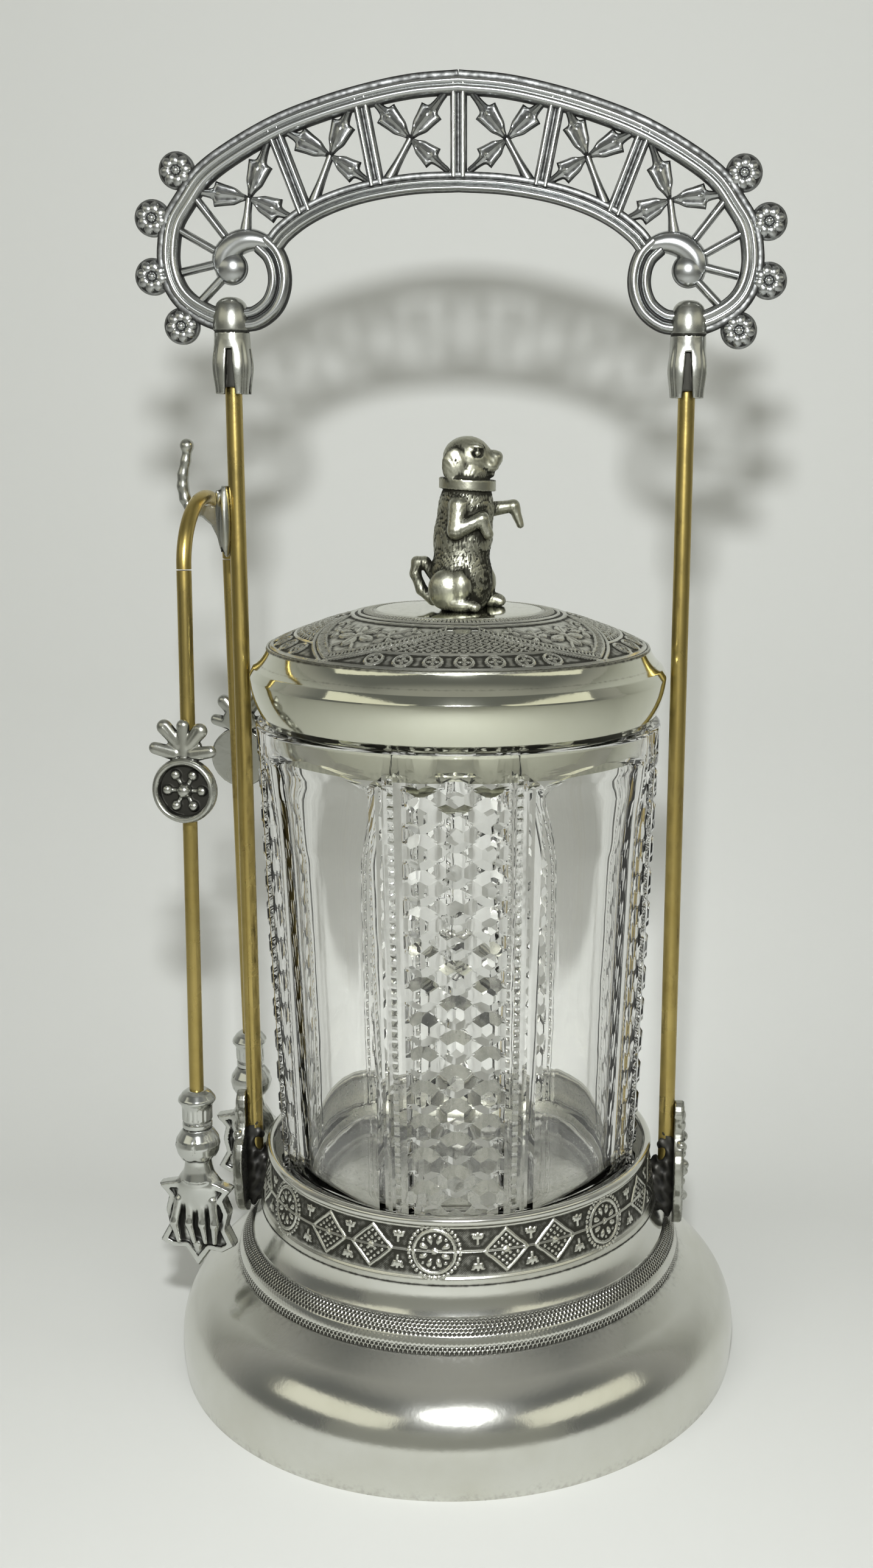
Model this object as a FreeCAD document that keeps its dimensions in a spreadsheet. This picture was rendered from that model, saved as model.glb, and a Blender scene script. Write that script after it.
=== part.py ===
"""A pickle castor: silver-plated stand with a fixed handle, pressed-glass jar, lid with a dog finial, and tongs."""
import FreeCAD
import Part
import Sketcher
import math
import os

from FreeCAD import Placement, Rotation, Vector

# The origin is the middle of the foot on the table. +Z is up, the handle lies along X and -Y is the front.

# Driving dimensions, in millimetres and degrees
SIZES = (
    # the neck, which the foot and the gallery are measured from
    ("neck_radius", "48.4"),
    ("neck_rise", "6.6"),
    ("neck_cove_spread", "0.6"),
    ("neck_cove_rise", "3"),
    # the knurled roll under it
    ("roll_top_spread", "2.3"),
    ("roll_spread", "3.3"),
    ("roll_shoulder_inset", "0.8"),
    ("roll_shoulder_rise", "3.8"),
    ("roll_rise", "6.8"),
    ("roll_seat", "3"),
    # the spun foot
    ("foot_cove_spread", "4"),
    ("foot_spread", "9.9"),
    ("foot_edge_inset", "0.4"),
    ("foot_bulge_rise", "6"),
    ("foot_shoulder_inset", "2.8"),
    ("foot_shoulder_rise", "10.4"),
    ("foot_cove_rise", "6.2"),
    ("foot_top_rise", "3.6"),
    ("foot_wall", "1.4"),
    # the gallery that the jar stands in
    ("band_rise", "12.8"),
    ("band_taper", "2.1"),
    ("band_wall", "1.2"),
    ("rim_wire_radius", "1.1"),
    # the glass jar
    ("seat_gap", "0.1"),
    ("jar_height", "117.8"),
    ("jar_play", "2.2"),
    ("jar_flare", "3.7"),
    ("jar_heel", "3"),
    ("jar_wall", "2.9"),
    ("jar_floor", "6"),
    ("jar_rim_round", "0.8"),
    ("button_depth", "1.35"),
    ("button_table_depth", "0.15"),
    ("button_half_angle", "4.65"),
    ("panel_low_rise", "5.8"),
    ("panel_top_drop", "5.2"),
    ("panel_half_angle", "14"),
    ("panel_turn_angle", "4"),
    ("flute_radius", "2.07"),
    ("flute_depth", "1.25"),
    ("flute_angle", "20.9"),
    # the lid, upwards from the jar's rim
    ("skirt_clearance", "0.5"),
    ("skirt_depth", "6.5"),
    ("lid_wall", "1.1"),
    ("lid_ledge", "1.4"),
    ("lid_overhang", "1.2"),
    ("lid_flare_inset", "0.8"),
    ("lid_flare_rise", "5.4"),
    ("lid_bulge_rise", "5"),
    ("lid_bead_inset", "0.9"),
    ("lid_bead_rise", "1.9"),
    ("lid_cove_inset", "2.9"),
    ("lid_cove_rise", "2.1"),
    ("lid_disc_inset", "4.1"),
    ("lid_disc_rise", "2.5"),
    ("lid_slope_spread", "12.3"),
    ("lid_slope_rise", "4.5"),
    ("plateau_radius", "20.7"),
    ("plateau_rise", "3.5"),
    # the dog finial and its fixing
    ("dog_height", "38.6"),
    ("screw_radius", "1.5"),
    ("screw_depth", "8.6"),
    ("screw_tip_clearance", "0.4"),
    ("screw_head_overhang", "1.7"),
    ("screw_head_height", "1.6"),
    ("screw_clearance", "0.05"),
    ("washer_overhang", "4"),
    ("washer_thickness", "0.8"),
    # the rods and what joins them to the stand
    ("rod_radius", "1.9"),
    ("rod_clearance", "0.2"),
    ("rod_foot_gap", "0.6"),
    ("rod_headroom", "25.6"),
    ("rod_fit", "0.03"),
    ("plate_thickness", "1.8"),
    ("plate_half_width", "7.8"),
    ("plate_drop", "7.8"),
    ("plate_height", "32"),
    ("plate_boss", "0.9"),
    ("solder_half_width", "3"),
    ("solder_height", "20"),
    ("solder_drop", "5"),
    # the ferrule and knop on each rod
    ("ferrule_mouth_wall", "2.2"),
    ("ferrule_mouth_depth", "3.2"),
    ("ferrule_lip", "0.7"),
    ("ferrule_belly_wall", "2.75"),
    ("ferrule_belly_rise", "5.4"),
    ("ferrule_top_wall", "2"),
    ("ferrule_height", "13.3"),
    ("knop_wall", "2.1"),
    ("knop_height", "7.6"),
    ("knop_cap", "3.6"),
    # the cast handle
    ("handle_overhang", "13.45"),
    ("handle_rise", "53.15"),
    ("rail_width", "3.8"),
    ("rail_depth", "5"),
    ("lower_rail_width", "4"),
    ("lower_rail_depth", "4.4"),
    ("post_width", "3.2"),
    ("post_depth", "3.8"),
    ("spoke_width", "1.5"),
    ("spoke_depth", "2.6"),
    ("scroll_width", "4.4"),
    ("scroll_depth", "4.8"),
    ("scroll_bob_radius", "3.4"),
    ("leaf_width", "4.6"),
    ("leaf_depth", "3.4"),
    ("rosette_radius", "3.8"),
    ("rosette_depth", "4.2"),
    # the hook that the tongs hang on
    ("hook_drop", "22.8"),
    ("hook_plate_height", "16"),
    ("hook_plate_rise", "4.5"),
    ("hook_plate_width", "5.4"),
    ("hook_plate_thickness", "2"),
    ("hook_slack", "1.65"),
    ("hook_finger_slack", "0.55"),
    ("hook_finger_rise", "12"),
    ("hook_finger_radius", "1.2"),
    ("hook_ball_radius", "1.6"),
    ("hook_arm_radius", "1.5"),
    # the tongs
    ("wire_radius", "1.65"),
    ("bow_radius", "15"),
    ("tongs_turn_angle", "6.5"),
    ("arm_lean_angle", "1.9"),
    ("arm_gap", "0.25"),
    ("medallion_drop", "49"),
    ("medallion_radius", "7.3"),
    ("medallion_thickness", "1.6"),
    ("medallion_rim_radius", "0.9"),
    ("medallion_stud_radius", "1.5"),
    ("petal_radius", "1.5"),
    ("petal_length", "10"),
    ("petal_root_rise", "8"),
    ("claw_clearance", "0.9"),
    ("claw_length", "44.5"),
    ("claw_socket", "2.5"),
    ("claw_cap_radius", "4.2"),
    ("claw_collar_radius", "3.6"),
    ("claw_cuff_radius", "5.2"),
    ("claw_wrist_radius", "3.4"),
    ("claw_half_width", "6"),
    ("claw_half_depth", "3.4"),
    ("finger_radius", "1.3"),
)

# The point of a quarter round that lies halfway along its arc, as a share of its radius from each side
ROUND_SHARE = 1 - math.sqrt(0.5)


class Size:
    """A length that carries its number and the sheet expression that gives it."""

    def __init__(self, number, text):
        self.number = number
        self.text = text

    def joined(self, other, sign, number):
        other_text = other.text if isinstance(other, Size) else repr(other)
        return Size(number, "(%s %s %s)" % (self.text, sign, other_text))

    def __add__(self, other):
        return self.joined(other, "+", self.number + number_of(other))

    def __sub__(self, other):
        return self.joined(other, "-", self.number - number_of(other))

    def __mul__(self, share):
        return self.joined(share, "*", self.number * share)


def number_of(value):
    return value.number if isinstance(value, Size) else value


doc = FreeCAD.newDocument("PickleCastor")
sheet = doc.addObject("Spreadsheet::Sheet", "Sizes")


def named_sizes():
    """Fill the sheet and return each of its cells as a Size, by name."""
    sizes = {}
    for row, (name, value) in enumerate(SIZES, start=1):
        sheet.set("A%d" % row, name)
        sheet.set("B%d" % row, value)
        sheet.setAlias("B%d" % row, name)
        sizes[name] = Size(float(value), "Sizes.%s" % name)
    doc.recompute()
    return sizes


size = named_sizes()


def mm(name):
    """The plain number of one named size."""
    return size[name].number


# Heights and radii that several pieces share
bulge_height = size["foot_bulge_rise"]
shoulder_height = bulge_height + size["foot_shoulder_rise"]
cove_height = shoulder_height + size["foot_cove_rise"]
step_height = cove_height + size["foot_top_rise"]
roll_top = step_height + size["roll_rise"]
deck_height = roll_top + size["neck_rise"]
band_top = deck_height + size["band_rise"]
jar_bottom = deck_height + size["seat_gap"]
jar_top = jar_bottom + size["jar_height"]
lid_seat = jar_top + size["seat_gap"]
flare_height = lid_seat + size["lid_flare_rise"]
lid_bulge_height = flare_height + size["lid_bulge_rise"]
bead_height = lid_bulge_height + size["lid_bead_rise"]
lid_cove_height = bead_height + size["lid_cove_rise"]
disc_height = lid_cove_height + size["lid_disc_rise"]
slope_height = disc_height + size["lid_slope_rise"]
plateau_height = slope_height + size["plateau_rise"]
rod_bottom = deck_height + size["rod_foot_gap"]
rod_top = plateau_height + size["dog_height"] + size["rod_headroom"]
knop_bottom = rod_top - size["knop_cap"]
ferrule_bottom = knop_bottom - size["ferrule_height"]
bow_top = ferrule_bottom - size["hook_drop"]
bow_centre = bow_top - size["bow_radius"]
claw_tip_height = step_height + size["claw_clearance"]

roll_top_radius = size["neck_radius"] + size["roll_top_spread"]
roll_radius = roll_top_radius + size["roll_spread"]
foot_cove_radius = roll_radius + size["foot_cove_spread"]
foot_radius = foot_cove_radius + size["foot_spread"]
band_top_radius = size["neck_radius"] - size["band_taper"]
jar_base_radius = band_top_radius - size["band_wall"] - size["jar_play"]
jar_rim_radius = jar_base_radius + size["jar_flare"]
mouth_radius = jar_rim_radius - size["jar_wall"]
skirt_radius = mouth_radius - size["skirt_clearance"]
lid_radius = jar_rim_radius + size["lid_overhang"]
screw_hole_radius = size["screw_radius"] + size["screw_clearance"]
rod_offset = size["neck_radius"] + size["rod_clearance"] + size["rod_radius"]
rod_face = rod_offset + size["rod_radius"]
rod_bore_radius = size["rod_radius"] + size["rod_fit"]
handle_half_span = rod_offset + size["handle_overhang"]
hook_face = rod_face + size["hook_plate_thickness"]
tongs_offset = hook_face + size["hook_slack"] + size["wire_radius"]
finger_offset = tongs_offset + size["wire_radius"] + size["hook_finger_slack"] + size["hook_ball_radius"]
arm_length = bow_centre - claw_tip_height - size["claw_length"] + size["claw_socket"]


# Helpers for turned, flat and free pieces
def role_plane(body, role):
    for item in body.Origin.OriginFeatures:
        if item.Role == role:
            return item
    raise ValueError(role)


def outline_sketch(body, role, outline):
    """Draw a closed outline of (across, up) corners; a corner with a third entry is the middle of an arc."""
    sketch = body.newObject("Sketcher::SketchObject", body.Name + "Outline")
    sketch.AttachmentSupport = [(role_plane(body, role), "")]
    sketch.MapMode = "FlatFace"
    corners = [place for place in outline if len(place) == 2]
    middles = {}
    count = 0
    for place in outline:
        if len(place) == 2:
            count += 1
        else:
            middles[count - 1] = place
    spots = [Vector(number_of(across), number_of(up), 0) for across, up in corners]
    edges = []
    for index, start in enumerate(spots):
        end = spots[(index + 1) % len(spots)]
        if index in middles:
            across, up, _ = middles[index]
            middle = Vector(number_of(across), number_of(up), 0)
            edge = sketch.addGeometry(Part.Arc(start, middle, end), False)
        else:
            edge = sketch.addGeometry(Part.LineSegment(start, end), False)
        first = sketch.getPoint(edge, 1)
        starts_first = first.distanceToPoint(start) <= first.distanceToPoint(end)
        edges.append((edge, 1, 2) if starts_first else (edge, 2, 1))
    for index, (edge, _, last) in enumerate(edges):
        following, first, _ = edges[(index + 1) % len(edges)]
        sketch.addConstraint(Sketcher.Constraint("Coincident", edge, last, following, first))
    for (edge, first, _), place in zip(edges, corners):
        fix_point(sketch, edge, first, place)
    for index, place in middles.items():
        across, up, _ = place
        point = sketch.addGeometry(Part.Point(Vector(number_of(across), number_of(up), 0)), True)
        sketch.addConstraint(Sketcher.Constraint("PointOnObject", point, 1, edges[index][0]))
        fix_point(sketch, point, 1, (across, up))
    return sketch


def fix_point(sketch, geometry, position, place):
    """Hold one point of a sketch at its two distances from the sketch's origin."""
    for kind, axis, value in (("DistanceX", -2, place[0]), ("DistanceY", -1, place[1])):
        if isinstance(value, Size):
            index = sketch.addConstraint(Sketcher.Constraint(kind, -1, 1, geometry, position, value.number))
            sketch.setExpression("Constraints[%d]" % index, value.text)
        else:
            sketch.addConstraint(Sketcher.Constraint("PointOnObject", geometry, position, axis))


def new_body(name):
    body = doc.addObject("PartDesign::Body", name)
    body.Label = name
    return body


def spun(name, outline, across=None):
    """A turned piece; `across` moves its axis along X."""
    body = new_body(name)
    sketch = outline_sketch(body, "XZ_Plane", outline)
    turn = body.newObject("PartDesign::Revolution", name + "Turn")
    turn.Profile = sketch
    turn.ReferenceAxis = (sketch, ["V_Axis"])
    turn.Angle = 360
    if across is not None:
        place(body, across)
    return body


def place(item, across, up=None):
    """Put an item at a distance along X, and at a height, that follow the sheet."""
    item.setExpression("Placement.Base.x", across.text)
    if up is not None:
        item.setExpression("Placement.Base.z", up.text)


def free_piece(name, shape):
    piece = doc.addObject("Part::Feature", name)
    piece.Label = name
    piece.Shape = shape
    return piece


def fused(shapes):
    """One solid from overlapping ones."""
    whole = shapes[0].multiFuse(shapes[1:])
    whole = whole.removeSplitter()
    return whole.Solids[0] if len(whole.Solids) == 1 else whole


def turned_shape(outline):
    """A solid of revolution about Z from (radius, height) numbers; a third entry marks an arc's middle."""
    corners = [Vector(entry[0], 0, entry[1]) for entry in outline if len(entry) == 2]
    middles = {}
    count = 0
    for entry in outline:
        if len(entry) == 2:
            count += 1
        else:
            middles[count - 1] = Vector(entry[0], 0, entry[1])
    edges = []
    for index, start in enumerate(corners):
        end = corners[(index + 1) % len(corners)]
        if index in middles:
            edges.append(Part.Arc(start, middles[index], end).toShape())
        else:
            edges.append(Part.LineSegment(start, end).toShape())
    return Part.Face(Part.Wire(edges)).revolve(Vector(0, 0, 0), Vector(0, 0, 1), 360)


def bar(start, end, start_radius, end_radius):
    """A round bar with ball ends between two points."""
    ends = [Part.makeSphere(start_radius, start), Part.makeSphere(end_radius, end)]
    run = end - start
    if abs(start_radius - end_radius) < 1e-9:
        return ends + [Part.makeCylinder(start_radius, run.Length, start, run)]
    return ends + [Part.makeCone(start_radius, end_radius, run.Length, start, run)]


def egg(centre, radii, turn_axis=Vector(0, 1, 0), turn=0):
    """An ellipsoid with three radii, turned about its own centre."""
    stretch = FreeCAD.Matrix()
    stretch.scale(Vector(*radii))
    shape = Part.makeSphere(1).transformGeometry(stretch)
    shape.Placement = Placement(centre, Rotation(turn_axis, turn))
    return shape


# The foot: a spun shell, open beneath, with a flat flange at its top
def make_foot():
    wall = size["foot_wall"]
    edge_radius = foot_radius - size["foot_edge_inset"]
    shoulder_radius = foot_radius - size["foot_shoulder_inset"]
    flange_radius = roll_radius - size["roll_seat"]
    spun("foot", [
        (edge_radius, 0),
        (foot_radius, bulge_height),
        (shoulder_radius, shoulder_height, "arc"),
        (foot_cove_radius, cove_height),
        (roll_radius, step_height),
        (flange_radius, step_height),
        (flange_radius, step_height - wall),
        (roll_radius - wall, step_height - wall),
        (foot_cove_radius - wall, cove_height - wall),
        (shoulder_radius - wall, shoulder_height - wall, "arc"),
        (foot_radius - wall, bulge_height),
        (edge_radius - wall, 0),
    ])


# The deck that stands on the foot's flange: a knurled roll, a plain neck and a flat top for the jar
def make_deck():
    wall = size["foot_wall"]
    shoulder_radius = roll_radius - size["roll_shoulder_inset"]
    shoulder = step_height + size["roll_shoulder_rise"]
    cove_radius = size["neck_radius"] + size["neck_cove_spread"]
    cove = roll_top + size["neck_cove_rise"]
    spun("deck", [
        (roll_radius, step_height),
        (shoulder_radius, shoulder, "arc"),
        (roll_top_radius, roll_top),
        (cove_radius, cove, "arc"),
        (size["neck_radius"], deck_height),
        (0, deck_height),
        (0, deck_height - wall),
        (size["neck_radius"] - wall, deck_height - wall),
        (cove_radius - wall, cove - wall, "arc"),
        (roll_top_radius - wall, roll_top - wall),
        (roll_radius - wall, step_height),
    ])


# The gallery: a thin band soldered on the deck, with a wire round its top
def make_gallery():
    wall = size["band_wall"]
    spun("gallery_band", [
        (size["neck_radius"], deck_height),
        (band_top_radius, band_top),
        (band_top_radius - wall, band_top),
        (size["neck_radius"] - wall, deck_height),
    ])
    wire = doc.addObject("Part::Torus", "gallery_rim")
    wire.Label = "gallery_rim"
    wire.setExpression("Radius1", (band_top_radius - wall * 0.5).text)
    wire.setExpression("Radius2", size["rim_wire_radius"].text)
    wire.setExpression("Placement.Base.z", (band_top + size["rim_wire_radius"]).text)


# The jar: pressed glass, a little wider at the rim, with a thick floor
# Round it are four panels of buttons, three columns in each, with a flute beyond each side.
# The buttons are plain ridges here: a table between two slopes, half a button higher in the outer columns.
PANEL_COUNT = 4
BUTTON_ROWS = 13.5


def make_jar():
    base_radius = jar_base_radius.number
    rim_radius = jar_rim_radius.number
    mouth = mouth_radius.number
    bottom = jar_bottom.number
    top = jar_top.number
    rounding = mm("jar_rim_round")
    heel = mm("jar_heel")
    wall = mm("jar_wall")
    floor_top = bottom + mm("jar_floor")
    jar = turned_shape([
        (0, bottom),
        (base_radius - heel, bottom),
        (base_radius - heel * ROUND_SHARE, bottom + heel * ROUND_SHARE, "arc"),
        (base_radius, bottom + heel),
        (rim_radius, top - rounding),
        (rim_radius - rounding * ROUND_SHARE, top - rounding * ROUND_SHARE, "arc"),
        (rim_radius - rounding, top),
        (mouth, top),
        (base_radius - wall, floor_top + heel),
        (base_radius - wall - heel * ROUND_SHARE, floor_top + heel * ROUND_SHARE, "arc"),
        (base_radius - wall - heel, floor_top),
        (0, floor_top),
    ])

    def side_radius(height):
        """The side's radius at a height."""
        share = (height - bottom - heel) / (top - rounding - bottom - heel)
        return base_radius + share * (rim_radius - base_radius)

    low = bottom + mm("panel_low_rise")
    high = top - mm("panel_top_drop")
    quarter = (high - low) / BUTTON_ROWS / 4
    quarters = round(BUTTON_ROWS * 4)
    up = Vector(0, 0, 1)

    def button_column(first, last, ahead):
        """What is cut away round one column of buttons, between two angles."""
        edge = [Vector(side_radius(high) + wall, 0, high), Vector(side_radius(low) + wall, 0, low)]
        for step in range(quarters + 1):
            phase = (step + ahead) % 4
            if phase or step in (0, quarters):
                height = low + step * quarter
                depth = mm("button_depth") if phase == 2 else mm("button_table_depth")
                edge.append(Vector(side_radius(height) - depth, 0, height))
        column = Part.Face(Part.makePolygon(edge + edge[:1])).revolve(Vector(0, 0, 0), up, last - first)
        column.rotate(Vector(0, 0, 0), up, first)
        return column

    panel_half = mm("panel_half_angle")
    button_half = mm("button_half_angle")
    columns = [
        button_column(-panel_half, -button_half, 2),
        button_column(-button_half, button_half, 0),
        button_column(button_half, panel_half, 2),
    ]
    flute = mm("flute_radius")
    outside = flute - mm("flute_depth")
    for index in range(PANEL_COUNT):
        middle = index * 360 / PANEL_COUNT - mm("panel_turn_angle")
        for column in columns:
            sunk = column.copy()
            sunk.rotate(Vector(0, 0, 0), up, middle)
            jar = jar.cut(sunk)
        for side in (1, -1):
            groove = fused(bar(
                Vector(side_radius(low) + outside, 0, low + flute),
                Vector(side_radius(high) + outside, 0, high - flute),
                flute, flute))
            groove.rotate(Vector(0, 0, 0), up, middle + side * mm("flute_angle"))
            jar = jar.cut(groove)
    free_piece("jar", jar.Solids[0] if len(jar.Solids) == 1 else jar)


# The lid: a spun shell whose skirt drops into the jar's mouth
def make_lid():
    wall = size["lid_wall"]
    ledge_radius = skirt_radius + size["lid_ledge"]
    flare_radius = lid_radius - size["lid_flare_inset"]
    bead_radius = lid_radius - size["lid_bead_inset"]
    cove_radius = lid_radius - size["lid_cove_inset"]
    disc_radius = lid_radius - size["lid_disc_inset"]
    slope_radius = size["plateau_radius"] + size["lid_slope_spread"]
    spun("lid", [
        (skirt_radius, lid_seat - size["skirt_depth"]),
        (skirt_radius, lid_seat),
        (ledge_radius, lid_seat),
        (flare_radius, flare_height, "arc"),
        (lid_radius, lid_bulge_height),
        (bead_radius, bead_height),
        (cove_radius, lid_cove_height, "arc"),
        (disc_radius, disc_height),
        (slope_radius, slope_height, "arc"),
        (size["plateau_radius"], plateau_height),
        (screw_hole_radius, plateau_height),
        (screw_hole_radius, plateau_height - wall),
        (size["plateau_radius"] - wall, plateau_height - wall),
        (slope_radius - wall, slope_height - wall, "arc"),
        (disc_radius - wall, disc_height - wall),
        (cove_radius - wall, lid_cove_height - wall, "arc"),
        (bead_radius - wall, bead_height - wall),
        (lid_radius - wall, lid_bulge_height),
        (flare_radius - wall, flare_height, "arc"),
        (ledge_radius - wall, lid_seat + wall),
        (skirt_radius - wall, lid_seat + wall),
        (skirt_radius - wall, lid_seat - size["skirt_depth"]),
    ])


# The finial: a cast dog sitting up to beg, held by a screw and a washer from inside the lid
DOG_EGG_SHARES = (
    # centre (x, y, z), radii (x, y, z), turn about Y in degrees; lengths are shares of the dog's height
    ((-0.075, 0.0, 0.17), (0.155, 0.135, 0.175), 0),
    ((-0.03, 0.0, 0.40), (0.125, 0.115, 0.22), 8),
    ((0.03, 0.0, 0.56), (0.12, 0.105, 0.15), 0),
    ((-0.01, 0.0, 0.72), (0.095, 0.09, 0.12), 0),
    ((0.02, 0.0, 0.88), (0.115, 0.1, 0.115), 0),
    ((-0.015, 0.095, 0.85), (0.05, 0.028, 0.09), 12),
    ((-0.015, -0.095, 0.85), (0.05, 0.028, 0.09), 12),
    ((0.04, 0.1, 0.12), (0.13, 0.06, 0.105), -18),
    ((0.04, -0.1, 0.12), (0.13, 0.06, 0.105), -18),
)
DOG_BAR_SHARES = (
    # start, end, start radius, end radius, as shares of the dog's height
    ((0.06, 0.0, 0.87), (0.185, 0.0, 0.855), 0.07, 0.045),
    ((0.04, 0.085, 0.58), (0.17, 0.08, 0.47), 0.048, 0.036),
    ((0.17, 0.08, 0.47), (0.29, 0.07, 0.52), 0.036, 0.032),
    ((0.04, -0.085, 0.58), (0.17, -0.08, 0.47), 0.048, 0.036),
    ((0.17, -0.08, 0.47), (0.29, -0.07, 0.52), 0.036, 0.032),
    ((0.1, 0.1, 0.045), (0.22, 0.1, 0.04), 0.045, 0.038),
    ((0.1, -0.1, 0.045), (0.22, -0.1, 0.04), 0.045, 0.038),
    ((-0.18, 0.0, 0.1), (-0.27, 0.0, 0.2), 0.035, 0.03),
    ((-0.27, 0.0, 0.2), (-0.245, 0.0, 0.3), 0.03, 0.022),
)

# The screw head's flat, and the bulge of its side, as shares of its radius and height
HEAD_FLAT_SHARE = 0.5
HEAD_SIDE_SHARES = (0.86, 0.64)


def make_finial():
    height = mm("dog_height")
    ground = plateau_height.number
    pieces = []

    def spot(shares):
        return Vector(shares[0] * height, shares[1] * height, ground + shares[2] * height)

    for centre, radii, turn in DOG_EGG_SHARES:
        pieces.append(egg(spot(centre), [share * height for share in radii], Vector(0, 1, 0), turn))
    for start, end, start_radius, end_radius in DOG_BAR_SHARES:
        pieces.extend(bar(spot(start), spot(end), start_radius * height, end_radius * height))
    dog = fused(pieces)
    below = Part.makeBox(height, height, height, Vector(-height / 2, -height / 2, ground - height))
    bore_depth = mm("screw_depth") + mm("screw_tip_clearance")
    bore = Part.makeCylinder(screw_hole_radius.number, bore_depth, Vector(0, 0, ground))
    free_piece("dog_finial", dog.cut(below).cut(bore).removeSplitter())

    underside = plateau_height - size["lid_wall"]
    washer_bottom = underside - size["washer_thickness"]
    washer_radius = size["screw_radius"] + size["washer_overhang"]
    spun("finial_washer", [
        (screw_hole_radius, underside),
        (washer_radius, underside),
        (washer_radius, washer_bottom),
        (screw_hole_radius, washer_bottom),
    ])
    head_radius = size["screw_radius"] + size["screw_head_overhang"]
    head_height = size["screw_head_height"]
    side_across, side_down = HEAD_SIDE_SHARES
    screw_tip = plateau_height + size["screw_depth"]
    spun("finial_screw", [
        (0, washer_bottom - head_height),
        (head_radius * HEAD_FLAT_SHARE, washer_bottom - head_height),
        (head_radius * side_across, washer_bottom - head_height * side_down, "arc"),
        (head_radius, washer_bottom),
        (size["screw_radius"], washer_bottom),
        (size["screw_radius"], screw_tip),
        (0, screw_tip),
    ])


# The rods, with a ferrule and a knop on each
# The knop's side bulges to these shares of its radius and height, up to a small flat top.
KNOP_SIDE_SHARES = (0.86, 0.62)
KNOP_TOP_SHARE = 0.22


def make_rods():
    mouth_outer = rod_bore_radius + size["ferrule_mouth_wall"]
    knop_radius = rod_bore_radius + size["knop_wall"]
    knop_top = knop_bottom + size["knop_height"]
    for side, sign in (("left", -1), ("right", 1)):
        across = rod_offset * sign
        rod = doc.addObject("Part::Cylinder", side + "_rod")
        rod.Label = side + "_rod"
        rod.setExpression("Radius", size["rod_radius"].text)
        rod.setExpression("Height", (rod_top - rod_bottom).text)
        place(rod, across, rod_bottom)
        spun(side + "_ferrule", [
            (rod_bore_radius, ferrule_bottom + size["ferrule_mouth_depth"]),
            (mouth_outer - size["ferrule_lip"], ferrule_bottom),
            (mouth_outer, ferrule_bottom),
            (rod_bore_radius + size["ferrule_belly_wall"], ferrule_bottom + size["ferrule_belly_rise"], "arc"),
            (rod_bore_radius + size["ferrule_top_wall"], knop_bottom),
            (rod_bore_radius, knop_bottom),
        ], across)
        spun(side + "_knop", [
            (rod_bore_radius, knop_bottom),
            (knop_radius, knop_bottom),
            (knop_radius * KNOP_SIDE_SHARES[0], knop_bottom + size["knop_height"] * KNOP_SIDE_SHARES[1], "arc"),
            (knop_radius * KNOP_TOP_SHARE, knop_top),
            (0, knop_top),
            (0, rod_top),
            (rod_bore_radius, rod_top),
        ], across)


# The brackets: a thin cast plate outside each rod, and the solder that joins plate, rod and gallery
PLATE_OUTLINE_SHARES = (
    # (share of the half width, share of the height), up one side; a third entry is the middle of an arc
    (0.0, 0.0),
    (0.62, 0.1, "arc"),
    (0.92, 0.32),
    (1.0, 0.48, "arc"),
    (0.8, 0.63),
    (0.42, 0.7, "arc"),
    (0.3, 0.85),
    (0.22, 0.97, "arc"),
    (0.0, 1.0),
)
PLATE_BOSS_SHARES = (
    # (share of the half width, share of the height, share of the boss radius)
    (0.0, 0.22, 2.0),
    (0.5, 0.45, 2.0),
    (-0.5, 0.45, 2.0),
    (0.0, 0.62, 2.0),
    (0.0, 0.84, 1.3),
)


def rod_shape(sign):
    """The round rod on one side, for cutting what is fitted to it."""
    return Part.makeCylinder(
        size["rod_radius"].number, (rod_top - rod_bottom).number,
        Vector(sign * rod_offset.number, 0, rod_bottom.number))


def stand_filled():
    """The deck and the gallery filled in, for cutting what is soldered to them."""
    deck = doc.getObject("deck").Shape
    band = doc.getObject("gallery_band").Shape
    rim = doc.getObject("gallery_rim").Shape
    core = Part.makeCylinder(band_top_radius.number - mm("band_wall"), band_top.number)
    return [deck, band, rim, core]


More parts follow.
